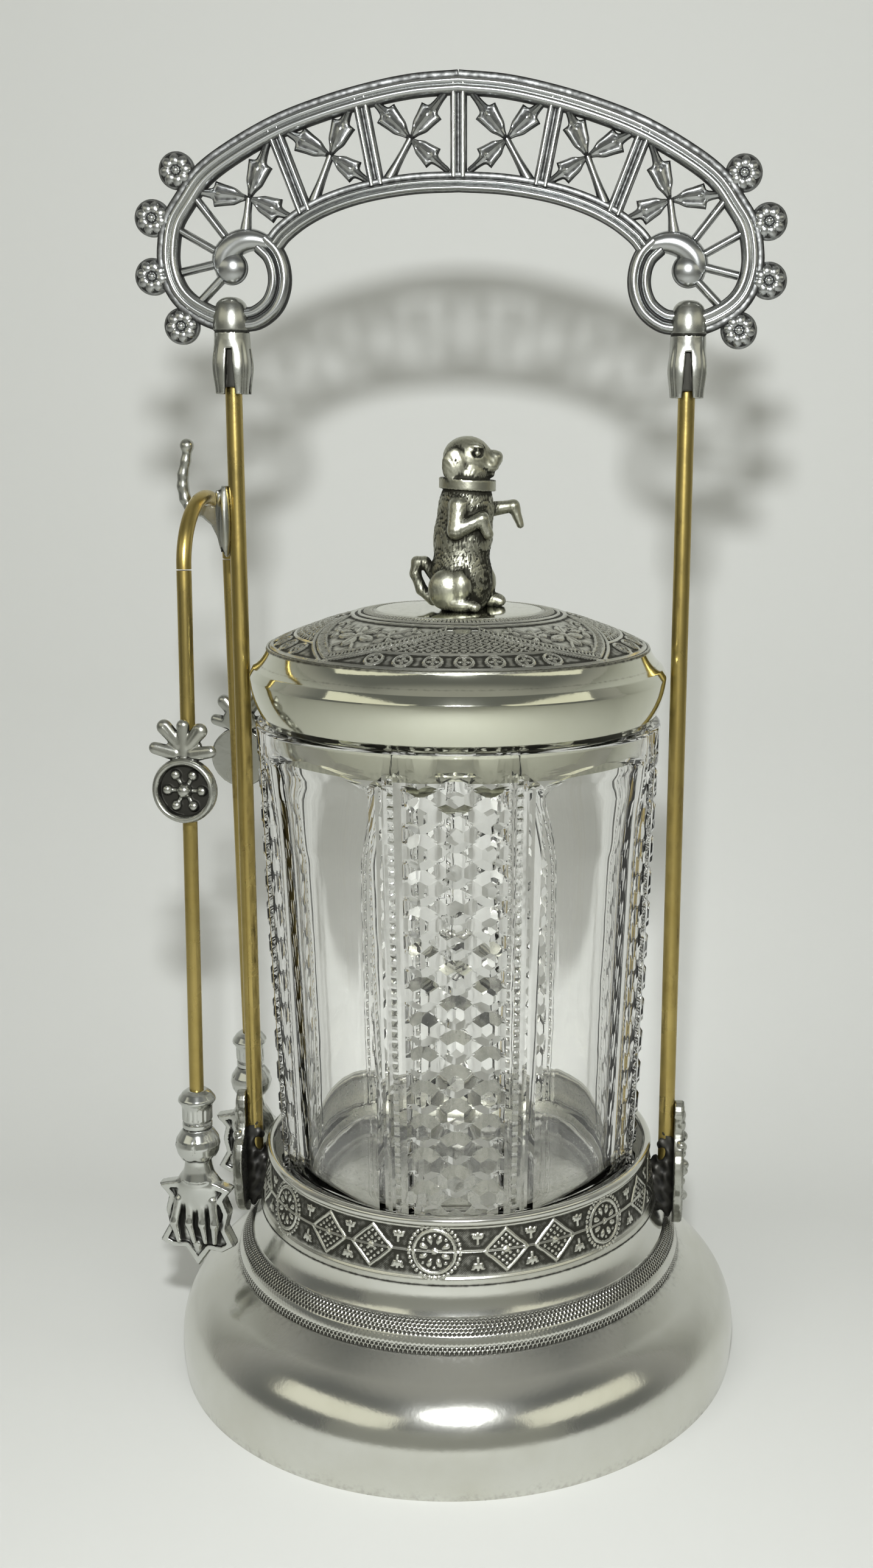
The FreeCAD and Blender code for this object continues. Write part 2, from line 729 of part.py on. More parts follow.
def make_brackets():
    doc.recompute()
    stand = stand_filled()
    bottom = deck_height.number - mm("plate_drop")
    half_width = mm("plate_half_width")
    height = mm("plate_height")
    thickness = mm("plate_thickness")
    inner_face = rod_face.number
    for side, sign in (("left", -1), ("right", 1)):
        def corner(entry, mirror):
            return Vector(sign * inner_face, mirror * entry[0] * half_width, bottom + entry[1] * height)

        edges = []
        for mirror in (1, -1):
            half = PLATE_OUTLINE_SHARES
            for index in range(0, len(half) - 1, 2):
                start, middle, end = half[index], half[index + 1], half[index + 2]
                arc = Part.Arc(corner(start, mirror), corner(middle, mirror), corner(end, mirror))
                edges.append(arc.toShape())
        outline = Part.Wire(Part.__sortEdges__(edges))
        plate = Part.Face(outline).extrude(Vector(sign * thickness, 0, 0))
        bosses = []
        for across_share, up_share, radius_share in PLATE_BOSS_SHARES:
            centre = Vector(
                sign * (inner_face + thickness),
                across_share * half_width,
                bottom + up_share * height)
            radius = mm("plate_boss") * radius_share
            bosses.append(egg(centre, (mm("plate_boss"), radius, radius)))
        plate = fused([plate] + bosses)
        for neighbour in stand:
            plate = plate.cut(neighbour)
        free_piece(side + "_bracket", max(plate.removeSplitter().Solids, key=lambda solid: solid.Volume))

        reach = inner_face - band_top_radius.number
        block = Part.makeBox(
            reach, mm("solder_half_width") * 2, mm("solder_height"),
            Vector(band_top_radius.number, -mm("solder_half_width"), deck_height.number - mm("solder_drop")))
        if sign < 0:
            block = block.mirror(Vector(0, 0, 0), Vector(1, 0, 0))
        for neighbour in stand + [rod_shape(sign)]:
            block = block.cut(neighbour)
        free_piece(side + "_solder", max(block.Solids, key=lambda solid: solid.Volume))


# The handle: one casting of two rails, posts, scrolls, leaf sprigs and rosettes
# Places are shares of the handle's half span across and of its rise above the knops' seam.
OUTER_RAIL_SHARES = (
    (0.0, 1.0),
    (0.407, 0.922),
    (0.783, 0.719),
    (0.932, 0.57),
    (1.0, 0.356),
    (0.963, 0.188),
    (0.863, 0.043),
)
LOWER_RAIL_SHARES = (
    (0.0, 0.61),
    (0.36, 0.544),
    (0.633, 0.361),
)
SCROLL_CENTRE_SHARE = (0.727, 0.226)
SCROLL_BOB_SHARE = (0.78, 0.267)
SCROLL_RADIUS_SHARE = 0.116
POST_SHARES = (
    ((0.0, 0.647), (0.0, 0.967)),
    ((0.331, 0.928), (0.277, 0.61)),
    ((0.622, 0.8), (0.543, 0.5)),
)
SPOKE_SHARES = (
    ((0.909, 0.527), (0.818, 0.389)),
    ((0.952, 0.408), (0.862, 0.339)),
    ((0.952, 0.245), (0.868, 0.275)),
    ((0.89, 0.143), (0.84, 0.209)),
)
SPRIG_SHARES = (
    # centre, then three leaf tips and the stem's end
    ((0.164, 0.788), (0.3, 0.912), (0.053, 0.946), (0.05, 0.653), (0.239, 0.628)),
    ((0.435, 0.706), (0.588, 0.79), (0.369, 0.882), (0.303, 0.604), (0.494, 0.538)),
    ((0.722, 0.538), (0.652, 0.753), (0.877, 0.566), (0.56, 0.48), (0.738, 0.42)),
)
ROSETTE_SHARES = ((0.966, 0.662), (1.058, 0.466), (1.063, 0.226), (0.954, 0.028))


def make_handle():
    half_span = handle_half_span.number
    rise = mm("handle_rise")
    base = knop_bottom.number
    parts = []

    def spot(shares, mirror=1, depth=0.0):
        return Vector(mirror * shares[0] * half_span, -depth / 2, base + shares[1] * rise)

    def strip(edges, width, depth):
        """A flat strip of one width along planar edges, through the handle's middle plane."""
        wire = Part.Wire(edges)
        face = wire.makeOffset2D(width / 2, 0, True, False, False)
        return face.extrude(Vector(0, depth, 0))

    def slot(start, end, width, depth):
        """A straight flat strip with round ends, through the handle's middle plane."""
        run = (end - start).normalize() * (width / 2)
        aside = Vector(-run.z, 0, run.x)
        corners = (start + aside, start - aside, end - aside, end + aside)
        edges = [
            Part.Arc(corners[0], start - run, corners[1]).toShape(),
            Part.LineSegment(corners[1], corners[2]).toShape(),
            Part.Arc(corners[2], end + run, corners[3]).toShape(),
            Part.LineSegment(corners[3], corners[0]).toShape(),
        ]
        return Part.Face(Part.Wire(edges)).extrude(Vector(0, depth, 0))

    def arcs(shares, mirror, depth):
        places = [spot(entry, mirror, depth) for entry in shares]
        return [
            Part.Arc(places[index], places[index + 1], places[index + 2]).toShape()
            for index in range(0, len(places) - 2, 2)
        ]

    for mirror in (-1, 1):
        for shares, rail in ((OUTER_RAIL_SHARES, "rail"), (LOWER_RAIL_SHARES, "lower_rail")):
            depth = mm(rail + "_depth")
            parts.append(strip(arcs(shares, mirror, depth), mm(rail + "_width"), depth))
        depth = mm("scroll_depth")
        centre = spot(SCROLL_CENTRE_SHARE, mirror, depth)
        radius = SCROLL_RADIUS_SHARE * half_span
        outer = Part.makeCylinder(radius + mm("scroll_width") / 2, depth, centre, Vector(0, 1, 0))
        inner = Part.makeCylinder(radius - mm("scroll_width") / 2, depth, centre, Vector(0, 1, 0))
        parts.append(outer.cut(inner))
        parts.append(Part.makeCylinder(
            mm("scroll_bob_radius"), depth, spot(SCROLL_BOB_SHARE, mirror, depth), Vector(0, 1, 0)))
        for start, end in POST_SHARES[(0 if mirror > 0 else 1):]:
            depth = mm("post_depth")
            parts.append(slot(spot(start, mirror, depth), spot(end, mirror, depth), mm("post_width"), depth))
        for start, end in SPOKE_SHARES:
            depth = mm("spoke_depth")
            parts.append(slot(spot(start, mirror, depth), spot(end, mirror, depth), mm("spoke_width"), depth))
        for centre_share, *tips in SPRIG_SHARES:
            for index, tip in enumerate(tips):
                stem = index == len(tips) - 1
                depth = mm("spoke_depth") if stem else mm("leaf_depth")
                width = mm("spoke_width") if stem else mm("leaf_width")
                start = spot(centre_share, mirror, depth)
                end = spot(tip, mirror, depth)
                if not stem:
                    end = end - (end - start).normalize() * (width / 2)
                parts.append(slot(start, end, width, depth))
        for shares in ROSETTE_SHARES:
            depth = mm("rosette_depth")
            parts.append(Part.makeCylinder(
                mm("rosette_radius"), depth, spot(shares, mirror, depth), Vector(0, 1, 0)))
    handle = fused(parts)
    doc.recompute()
    for side in ("left", "right"):
        for neighbour in ("_rod", "_knop", "_ferrule"):
            handle = handle.cut(doc.getObject(side + neighbour).Shape)
    handle = handle.removeSplitter()
    free_piece("handle_arch", max(handle.Solids, key=lambda solid: solid.Volume))


# The hook: a small casting soldered to the outside of the left rod
FINGER_SHARES = (
    # (share of the finger's rise, share of its radius by which it stands further out), from the saddle up
    (-0.06, 0.0),
    (0.32, 1.1),
    (0.68, 0.7),
    (1.0, 0.0),
)


def make_hook():
    saddle_top = bow_top.number - mm("wire_radius") - mm("seat_gap")
    face = rod_face.number
    thickness = mm("hook_plate_thickness")
    plate_bottom = saddle_top + mm("hook_plate_rise") - mm("hook_plate_height")
    plate = Part.makeBox(
        thickness + mm("rod_radius"), mm("hook_plate_width"), mm("hook_plate_height"),
        Vector(-face - thickness, -mm("hook_plate_width") / 2, plate_bottom))
    arm_radius = mm("hook_arm_radius")
    arm_height = saddle_top - arm_radius
    root = -face - thickness / 2
    inner = Vector(root, 0, arm_height)
    outer = Vector(-finger_offset.number, 0, arm_height)
    brace_foot = Vector(root, 0, plate_bottom + arm_radius)
    brace_top = Vector(-tongs_offset.number, 0, arm_height - arm_radius / 2)
    pieces = [plate]
    pieces.extend(bar(inner, outer, arm_radius, arm_radius))
    pieces.extend(bar(brace_foot, brace_top, arm_radius, arm_radius))
    finger = [
        Vector(
            -finger_offset.number - out * mm("hook_finger_radius"), 0,
            saddle_top + up * mm("hook_finger_rise"))
        for up, out in FINGER_SHARES
    ]
    for start, end in zip(finger, finger[1:]):
        pieces.extend(bar(start, end, mm("hook_finger_radius"), mm("hook_finger_radius")))
    pieces.append(Part.makeSphere(mm("hook_ball_radius"), finger[-1]))
    free_piece("tongs_hook", fused(pieces).cut(rod_shape(-1)).removeSplitter())


# The tongs: a wire bow over the hook, and two arms with a medallion and a claw on each
PETAL_SHARES = (
    # (angle from upright in degrees, share of the longest petal)
    (-82, 0.66),
    (-40, 0.86),
    (0, 1.0),
    (40, 0.86),
    (82, 0.66),
)
CLAW_PROFILE_SHARES = (
    # (the radius it follows, share of that radius, share of the length below the top)
    ("claw_cap_radius", 0.55, 0.0),
    ("claw_cap_radius", 1.0, 0.045, "arc"),
    ("claw_collar_radius", 1.0, 0.09),
    ("claw_collar_radius", 1.0, 0.19),
    ("claw_cuff_radius", 1.0, 0.3, "arc"),
    ("claw_wrist_radius", 1.0, 0.4),
)
CLAW_PALM_SHARES = (
    # (share of the length below the top), then radii as shares of the half width, half depth and length
    (0.55, 0.86, 1.0, 0.2),
    (0.8, 0.72, 0.6, 0.13),
)
# Fingers across the palm, as shares of the half width, and where they lie out of it and below the top
CLAW_FINGER_SHARES = (-0.62, -0.24, 0.16, 0.53)
FINGER_OUT_SHARE = 0.62
FINGER_DROP_SHARE = 0.72
FINGER_LENGTH_SHARE = 0.15
FINGER_DEPTH_SHARE = 1.15
FINGER_TURNS = (-6, -2, 2, 5)
LEAF_POINT_SHARES = (
    # (share of the half width, share of the length below the top) of each leaf point's root and tip
    ((-0.55, 0.62), (-1.1, 0.55)),
    ((0.55, 0.62), (1.1, 0.55)),
    ((-0.5, 0.8), (-1.0, 0.84)),
    ((0.5, 0.8), (1.0, 0.84)),
    ((0.0, 0.82), (0.05, 0.99)),
)
LEAF_ROOT_SHARE = 0.6
LEAF_TIP_SHARE = 0.12
# The medallion's parts, as shares of its radius, its thickness and the petals' radius
FAN_FORWARD_SHARE = 0.6
PETAL_ROOT_SHARE = 0.6
LOBE_RING_SHARE = 0.52
LOBE_RADIUS_SHARE = 0.17
LOBE_DEPTH_SHARE = 0.35


def tongs_placement():
    return Placement(
        Vector(-tongs_offset.number, 0, bow_centre.number),
        Rotation(Vector(0, 0, 1), -mm("tongs_turn_angle")))


def claw_shape():
    """A claw hanging from the origin: cap, ribbed collar, cuff, wrist, hand, fingers and leaf points."""
    length = mm("claw_length")
    half_width = mm("claw_half_width")
    half_depth = mm("claw_half_depth")
    profile = [
        (mm(radius) * radius_share, -length * drop_share, *middle)
        for radius, radius_share, drop_share, *middle in CLAW_PROFILE_SHARES
    ]
    profile = [(0, 0)] + profile + [(0, profile[-1][1])]
    pieces = [turned_shape(profile)]
    for drop_share, across_share, out_share, down_share in CLAW_PALM_SHARES:
        radii = (half_width * across_share, half_depth * out_share, length * down_share)
        pieces.append(egg(Vector(0, 0, -length * drop_share), radii))
    finger = mm("finger_radius")
    for across, turn in zip(CLAW_FINGER_SHARES, FINGER_TURNS):
        knuckle = Vector(across * half_width, -half_depth * FINGER_OUT_SHARE, -length * FINGER_DROP_SHARE)
        radii = (finger, finger * FINGER_DEPTH_SHARE, length * FINGER_LENGTH_SHARE)
        pieces.append(egg(knuckle, radii, Vector(0, 1, 0), turn))
    for root, tip in LEAF_POINT_SHARES:
        start = Vector(root[0] * half_width, 0, -root[1] * length)
        end = Vector(tip[0] * half_width, 0, -tip[1] * length)
        run = end - start
        root_radius = half_depth * LEAF_ROOT_SHARE
        pieces.append(Part.makeCone(root_radius, half_depth * LEAF_TIP_SHARE, run.Length, start, run))
    return fused(pieces)


def medallion_shape():
    """A round medallion facing -Y with ribbon petals over it; its back lies on the plane y = 0."""
    radius = mm("medallion_radius")
    thick = mm("medallion_thickness")
    rim = mm("medallion_rim_radius")
    facing = Vector(0, -1, 0)
    pieces = [
        Part.makeCylinder(radius, thick, Vector(0, 0, 0), facing),
        Part.makeTorus(radius - rim, rim, Vector(0, -thick, 0), facing),
        Part.makeSphere(mm("medallion_stud_radius"), Vector(0, -thick, 0)),
    ]
    fan_root = Vector(0, -thick * FAN_FORWARD_SHARE, mm("petal_root_rise"))
    for angle, share in PETAL_SHARES:
        run = Vector(math.sin(math.radians(angle)), 0, math.cos(math.radians(angle)))
        end = fan_root + run * (mm("petal_length") * share)
        pieces.extend(bar(fan_root, end, mm("petal_radius") * PETAL_ROOT_SHARE, mm("petal_radius")))
    for step in range(6):
        angle = math.radians(step * 60)
        centre = Vector(math.sin(angle), 0, math.cos(angle)) * (radius * LOBE_RING_SHARE) + Vector(0, -thick, 0)
        lobe = radius * LOBE_RADIUS_SHARE
        pieces.append(egg(centre, (lobe, thick * LOBE_DEPTH_SHARE, lobe)))
    shape = fused(pieces)
    reach = radius + mm("petal_root_rise") + mm("petal_length")
    behind = Part.makeBox(reach * 2, radius, reach * 2, Vector(-reach, 0, -reach))
    return shape.cut(behind)


def make_tongs():
    hang = tongs_placement()
    wire = mm("wire_radius")
    length = arm_length.number
    bow = doc.addObject("Part::Torus", "tongs_bow")
    bow.Label = "tongs_bow"
    bow.setExpression("Radius1", size["bow_radius"].text)
    bow.setExpression("Radius2", size["wire_radius"].text)
    bow.Angle3 = 180
    bow.Placement = hang * Placement(Vector(0, 0, 0), Rotation(Vector(1, 1, 1), 120))
    for side, sign in (("front", -1), ("rear", 1)):
        tilt = Rotation(Vector(1, 0, 0), sign * mm("arm_lean_angle"))
        lean = Placement(Vector(0, sign * mm("bow_radius"), 0), tilt)
        turned = hang * lean
        bottom = Placement(Vector(0, 0, -length), Rotation())
        arm = doc.addObject("Part::Cylinder", side + "_arm")
        arm.Label = side + "_arm"
        arm.setExpression("Radius", size["wire_radius"].text)
        arm.setExpression("Height", (arm_length - size["arm_gap"]).text)
        arm.Placement = turned * bottom
        facing = Placement(Vector(0, 0, 0), Rotation(Vector(0, 0, 1), 0 if sign < 0 else 180))
        bore = Part.makeCylinder(wire, length - mm("arm_gap"), Vector(0, 0, -length))
        medallion = medallion_shape()
        medallion.Placement = facing * Placement(Vector(0, -wire, -mm("medallion_drop")), Rotation())
        claw = claw_shape()
        claw.Placement = facing * Placement(Vector(0, 0, mm("claw_socket") - length), Rotation())
        for name, casting in (("medallion", medallion), ("claw", claw)):
            piece = casting.cut(bore)
            piece.Placement = turned * piece.Placement
            free_piece(side + "_" + name, piece)


def check_document():
    """Stop if any object failed or any piece is not a sound solid."""
    for item in doc.Objects:
        if "Invalid" in item.State or "Error" in item.State:
            raise RuntimeError("%s failed: %s" % (item.Name, item.State))
    for piece in pieces_to_write():
        shape = piece.Shape
        if shape.isNull() or not shape.isValid() or not shape.Solids:
            raise RuntimeError("%s is not a sound solid" % piece.Label)


def pieces_to_write():
    kinds = ("PartDesign::Body", "Part::Cylinder", "Part::Torus", "Part::Feature")
    return [item for item in doc.Objects if item.TypeId in kinds]


def write_steps():
    os.makedirs("parts", exist_ok=True)
    for piece in pieces_to_write():
        piece.Shape.exportStep("parts/%s.step" % piece.Label)
        print("%-18s %10.1f mm3, %d solid(s)" % (piece.Label, piece.Shape.Volume, len(piece.Shape.Solids)))


make_foot()
make_deck()
make_gallery()
make_jar()
make_lid()
make_finial()
make_rods()
make_brackets()
make_handle()
make_hook()
make_tongs()
doc.recompute()
check_document()
write_steps()
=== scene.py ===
import math

import bmesh
import bpy
import numpy as np
from mathutils import Matrix, Vector


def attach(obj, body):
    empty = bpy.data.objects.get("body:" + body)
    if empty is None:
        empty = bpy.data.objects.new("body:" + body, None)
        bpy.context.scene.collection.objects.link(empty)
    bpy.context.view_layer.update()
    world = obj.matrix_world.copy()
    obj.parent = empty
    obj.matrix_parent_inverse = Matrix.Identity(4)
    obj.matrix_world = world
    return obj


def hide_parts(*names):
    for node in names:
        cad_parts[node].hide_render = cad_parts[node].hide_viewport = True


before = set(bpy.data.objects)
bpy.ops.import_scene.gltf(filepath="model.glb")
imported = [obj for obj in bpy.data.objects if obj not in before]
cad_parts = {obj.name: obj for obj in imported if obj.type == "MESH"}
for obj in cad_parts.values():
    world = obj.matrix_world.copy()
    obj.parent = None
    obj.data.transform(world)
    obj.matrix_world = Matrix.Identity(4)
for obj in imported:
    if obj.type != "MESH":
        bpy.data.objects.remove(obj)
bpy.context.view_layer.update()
MM = 0.001
scene = bpy.context.scene
scene.view_settings.view_transform = "Standard"


# The camera stands a little above the lid and to the right, and looks down past the jar.
# Its place, turn and lens are the photograph's; the shift keeps the castor left of the lens's middle.
photo_size = (1434, 2576)
camera_place = Vector((33.92, -378.94, 225.56)) * MM
camera_pitch, camera_roll, camera_yaw = 0.217361, -0.0097066, 0.0395106
focal_pixels, lens_middle, sensor_width = 2732.32, 887.4, 36
level_right = Vector((math.cos(camera_yaw), math.sin(camera_yaw), 0))
level_ahead = Vector((-math.sin(camera_yaw), math.cos(camera_yaw), 0))
ahead = level_ahead * math.cos(camera_pitch) - Vector((0, 0, math.sin(camera_pitch)))
below = -level_ahead * math.sin(camera_pitch) - Vector((0, 0, math.cos(camera_pitch)))
camera_right = level_right * math.cos(camera_roll) + below * math.sin(camera_roll)
camera_down = below * math.cos(camera_roll) - level_right * math.sin(camera_roll)
camera_data = bpy.data.cameras.new("camera")
camera_data.sensor_width = sensor_width
camera_data.lens = sensor_width * focal_pixels / photo_size[1]
camera_data.shift_x = (photo_size[0] / 2 - lens_middle) / photo_size[1]
camera_data.clip_start = 0.01
camera = bpy.data.objects.new("camera", camera_data)
scene.collection.objects.link(camera)
turn = Matrix((camera_right, -camera_down, -ahead)).transposed().to_4x4()
camera.matrix_world = Matrix.Translation(camera_place) @ turn
scene.camera = camera


# The table and the wall close behind it are one pale sheet that curves up.
# Seen from behind, it lets the view through.
def node_material(name):
    material = bpy.data.materials.new(name)
    material.use_nodes = True
    tree = material.node_tree
    return material, tree.nodes, tree.links, tree.nodes["Principled BSDF"]


def added(nodes, kind, values=(), **settings):
    """A new node with its settings, and with values on some of its inputs."""
    node = nodes.new(kind)
    for setting, value in settings.items():
        setattr(node, setting, value)
    for socket, value in dict(values).items():
        node.inputs[socket].default_value = value
    return node


def linked(links, *pairs):
    """A link from each output to the input beside it."""
    for output, socket in pairs:
        links.new(output, socket)


table_material, nodes, links, table_shader = node_material("table_cloth_white")
table_shader.inputs["Base Color"].default_value = (0.575, 0.58, 0.56, 1)
table_shader.inputs["Roughness"].default_value = 0.9
table_shader.inputs["Specular IOR Level"].default_value = 0.1
sheet_side = added(nodes, "ShaderNodeNewGeometry")
see_through = added(nodes, "ShaderNodeBsdfTransparent")
one_sided = added(nodes, "ShaderNodeMixShader")
linked(
    links,
    (sheet_side.outputs["Backfacing"], one_sided.inputs["Fac"]),
    (table_shader.outputs[0], one_sided.inputs[1]),
    (see_through.outputs[0], one_sided.inputs[2]),
    (one_sided.outputs[0], nodes["Material Output"].inputs["Surface"]),
)
sheet_half_width, front_edge, front_lip, wall_top = 0.8, -0.78, 0.33, 0.85
bend_start, bend_radius = 0.07, 0.13
sweep = [(front_edge, front_lip), (front_edge, 0.02), (front_edge + 0.02, 0.0), (bend_start, 0.0)]
for a in np.linspace(0.08, math.pi / 2, 16):
    sweep.append((bend_start + bend_radius * math.sin(a), bend_radius - bend_radius * math.cos(a)))
sweep.append((bend_start + bend_radius, wall_top))
table_mesh = bpy.data.meshes.new("table")
corners = [(x, y, z) for y, z in sweep for x in (-sheet_half_width, sheet_half_width)]
table_mesh.from_pydata(corners, [], [(i, i + 1, i + 3, i + 2) for i in range(0, len(corners) - 2, 2)])
table_mesh.materials.append(table_material)
for polygon in table_mesh.polygons:
    polygon.use_smooth = True
table = bpy.data.objects.new("table", table_mesh)
scene.collection.objects.link(table)


# The room is dark in front of the table, grey over its back and straight above, and paler as the glass
# bends it; the camera sees it as pale as the sheet.
world = bpy.data.worlds.new("room")
scene.world = world
world.use_nodes = True
nodes, links = world.node_tree.nodes, world.node_tree.links
room_colour = nodes["Background"]
room_colour.inputs["Strength"].default_value = 1.0
dark_room, grey_room = (0.15, 0.155, 0.145, 1), (0.36, 0.36, 0.33, 1)
room_through_glass, room_in_view = (0.31, 0.31, 0.29, 1), (0.60, 0.605, 0.585, 1)
direction = added(nodes, "ShaderNodeTexCoord")
room_axes = added(nodes, "ShaderNodeSeparateXYZ")
over_back = added(
    nodes, "ShaderNodeMapRange", {"From Min": -0.25, "From Max": 0.3}, interpolation_type="SMOOTHSTEP")
overhead = added(
    nodes, "ShaderNodeMapRange", {"From Min": 0.8, "From Max": 0.99}, interpolation_type="SMOOTHSTEP")
pale_share = added(nodes, "ShaderNodeMath", operation="MAXIMUM")
ray_kind = added(nodes, "ShaderNodeLightPath")
room_mix = added(nodes, "ShaderNodeMix", data_type="RGBA")
room_mix.inputs["A"].default_value = dark_room
room_mix.inputs["B"].default_value = grey_room
bent_mix = added(nodes, "ShaderNodeMix", data_type="RGBA")
bent_mix.inputs["B"].default_value = room_through_glass
seen_mix = added(nodes, "ShaderNodeMix", data_type="RGBA")
seen_mix.inputs["B"].default_value = room_in_view
linked(
    links,
    (direction.outputs["Generated"], room_axes.inputs[0]),
    (room_axes.outputs["Y"], over_back.inputs["Value"]),
    (room_axes.outputs["Z"], overhead.inputs["Value"]),
    (over_back.outputs[0], pale_share.inputs[0]),
    (overhead.outputs[0], pale_share.inputs[1]),
    (pale_share.outputs[0], room_mix.inputs["Factor"]),
    (ray_kind.outputs["Is Transmission Ray"], bent_mix.inputs["Factor"]),
    (room_mix.outputs["Result"], bent_mix.inputs["A"]),
    (ray_kind.outputs["Is Camera Ray"], seen_mix.inputs["Factor"]),
    (bent_mix.outputs["Result"], seen_mix.inputs["A"]),
    (seen_mix.outputs["Result"], room_colour.inputs["Color"]),
)


# A soft panel stands on each side of the table, and a small flash is over the camera. A long lamp hangs
# in front, and doesn't show in the metal.
def soft_lamp(name, place, aim, size, power, colour):
    data = bpy.data.lights.new(name, "AREA")
    data.shape = "RECTANGLE"
    data.size, data.size_y = size
    data.energy = power
    data.color = colour
    lamp = bpy.data.objects.new(name, data)
    scene.collection.objects.link(lamp)
    lamp.location = place
    lamp.rotation_euler = (Vector(aim) - Vector(place)).to_track_quat("-Z", "Y").to_euler()
    return lamp


panel_size, panel_power, ivory = (0.90, 0.40), 0.85, (1.0, 0.98, 0.80)
soft_lamp("panel_left", (-0.66, -0.62, 0.55), (0, 0, 0.12), panel_size, panel_power, ivory)
soft_lamp("panel_right", (0.76, -0.50, 0.55), (0, 0, 0.12), panel_size, panel_power, ivory)
ceiling = soft_lamp("ceiling", (-0.10, -0.62, 1.15), (0, 0, 0.1), (1.5, 0.75), 4.5, (1.0, 1.0, 0.98))
ceiling.visible_glossy = False
soft_lamp("flash", (0.03, -0.39, 0.345), (0, 0, 0.14), (0.03, 0.018), 2.3, (0.97, 0.99, 1.0))


# The foot is a wide dome spun from sheet, open beneath, silver plated, and rubbed pale with use.
# Its edge is a flat ring; a flange at the top carries the deck.
def tarnished(name, base, dark, gloss, mottle=0.35, grain=0.5, wear=None):
    """Metal that is dark where the attribute recess is high, mottled and finely scratched elsewhere; recess
    holds tarnish, and on a few pieces painted shade.
    """
    material, nodes, links, shader = node_material(name)
    shader.inputs["Metallic"].default_value = 1.0
    place = added(nodes, "ShaderNodeTexCoord")
    recess = added(nodes, "ShaderNodeAttribute", attribute_name="recess")
    cloud = added(nodes, "ShaderNodeTexNoise", {"Scale": 55.0, "Detail": 5.0, "Roughness": 0.62})
    cloud_range = added(nodes, "ShaderNodeMapRange", {"From Min": 0.38, "From Max": 0.72, "To Max": mottle})
    warm = added(nodes, "ShaderNodeMix", data_type="RGBA")
    warm.inputs["A"].default_value = (*base, 1)
    warm.inputs["B"].default_value = (base[0] * 0.72, base[1] * 0.70, base[2] * 0.6, 1)
    speck = added(nodes, "ShaderNodeTexNoise", {"Scale": 900.0, "Detail": 3.0})
    # This node mixes fine specks with recess, which holds tarnish in hollows and, on a few pieces, painted
    # shade.
    dirt = added(nodes, "ShaderNodeMath", {1: 0.5}, operation="MULTIPLY_ADD")
    dirt_range = added(
        nodes, "ShaderNodeMapRange", {"From Min": 0.42, "From Max": 1.05}, interpolation_type="SMOOTHSTEP")
    tone = added(nodes, "ShaderNodeMix", data_type="RGBA")
    tone.inputs["B"].default_value = (*dark, 1)
    rough = added(nodes, "ShaderNodeMath", {1: 0.38, 2: gloss}, operation="MULTIPLY_ADD")
    rough_cloud = added(nodes, "ShaderNodeMath", {1: 0.18}, operation="MULTIPLY_ADD")
    bump = added(nodes, "ShaderNodeBump", {"Strength": grain, "Distance": 0.00003})
    linked(
        links,
        (place.outputs["Object"], cloud.inputs["Vector"]),
        (place.outputs["Object"], speck.inputs["Vector"]),
        (cloud.outputs["Fac"], cloud_range.inputs["Value"]),
        (cloud_range.outputs[0], warm.inputs["Factor"]),
        (speck.outputs["Fac"], dirt.inputs[0]),
        (recess.outputs["Fac"], dirt.inputs[2]),
        (dirt.outputs[0], dirt_range.inputs["Value"]),
        (dirt_range.outputs[0], tone.inputs["Factor"]),
        (warm.outputs["Result"], tone.inputs["A"]),
        (dirt_range.outputs[0], rough.inputs[0]),
        (cloud_range.outputs[0], rough_cloud.inputs[0]),
        (rough.outputs[0], rough_cloud.inputs[2]),
        (rough_cloud.outputs[0], shader.inputs["Roughness"]),
        (speck.outputs["Fac"], bump.inputs["Height"]),
        (bump.outputs["Normal"], shader.inputs["Normal"]),
    )
    last = tone
    if wear is not None:
        patches = added(
            nodes, "ShaderNodeTexNoise", {"Scale": wear["scale"], "Detail": 6.0, "Roughness": 0.7})
        stretch = added(nodes, "ShaderNodeMapping", {"Scale": (1, 1, wear["stretch"])})
        worn = added(
            nodes, "ShaderNodeMapRange", {"From Min": wear["from"], "From Max": wear["to"]},
            interpolation_type="SMOOTHSTEP")
        last = added(nodes, "ShaderNodeMix", data_type="RGBA")
        last.inputs["B"].default_value = (*wear["colour"], 1)
        linked(
            links,
            (place.outputs["Object"], stretch.inputs["Vector"]),
            (stretch.outputs["Vector"], patches.inputs["Vector"]),
            (patches.outputs["Fac"], worn.inputs["Value"]),
            (worn.outputs[0], last.inputs["Factor"]),
            (tone.outputs["Result"], last.inputs["A"]),
        )
    links.new(last.outputs["Result"], shader.inputs["Base Color"])
    return material


spun_silver = tarnished("spun_silver", (0.70, 0.70, 0.655), (0.07, 0.068, 0.06), 0.15, mottle=0.3, grain=0.5)


def arc_through(start, middle, end, count=14):
    """Points of the circle through three points of a profile, from the first to the last."""
    (ax, ay), (bx, by), (cx, cy) = start, middle, end
    a2, b2, c2 = ax * ax + ay * ay, bx * bx + by * by, cx * cx + cy * cy
    d = 2 * (ax * (by - cy) + bx * (cy - ay) + cx * (ay - by))
    ux = (a2 * (by - cy) + b2 * (cy - ay) + c2 * (ay - by)) / d
    uy = (a2 * (cx - bx) + b2 * (ax - cx) + c2 * (bx - ax)) / d
    radius = math.hypot(ax - ux, ay - uy)
    first, halfway, last = (math.atan2(y - uy, x - ux) for x, y in ((ax, ay), (bx, by), (cx, cy)))
    sweep = (last - first) % (2 * math.pi)
    if (halfway - first) % (2 * math.pi) > sweep:
        sweep -= 2 * math.pi
    return [
        (ux + radius * math.cos(first + sweep * i / count), uy + radius * math.sin(first + sweep * i / count))
        for i in range(count + 1)
    ]


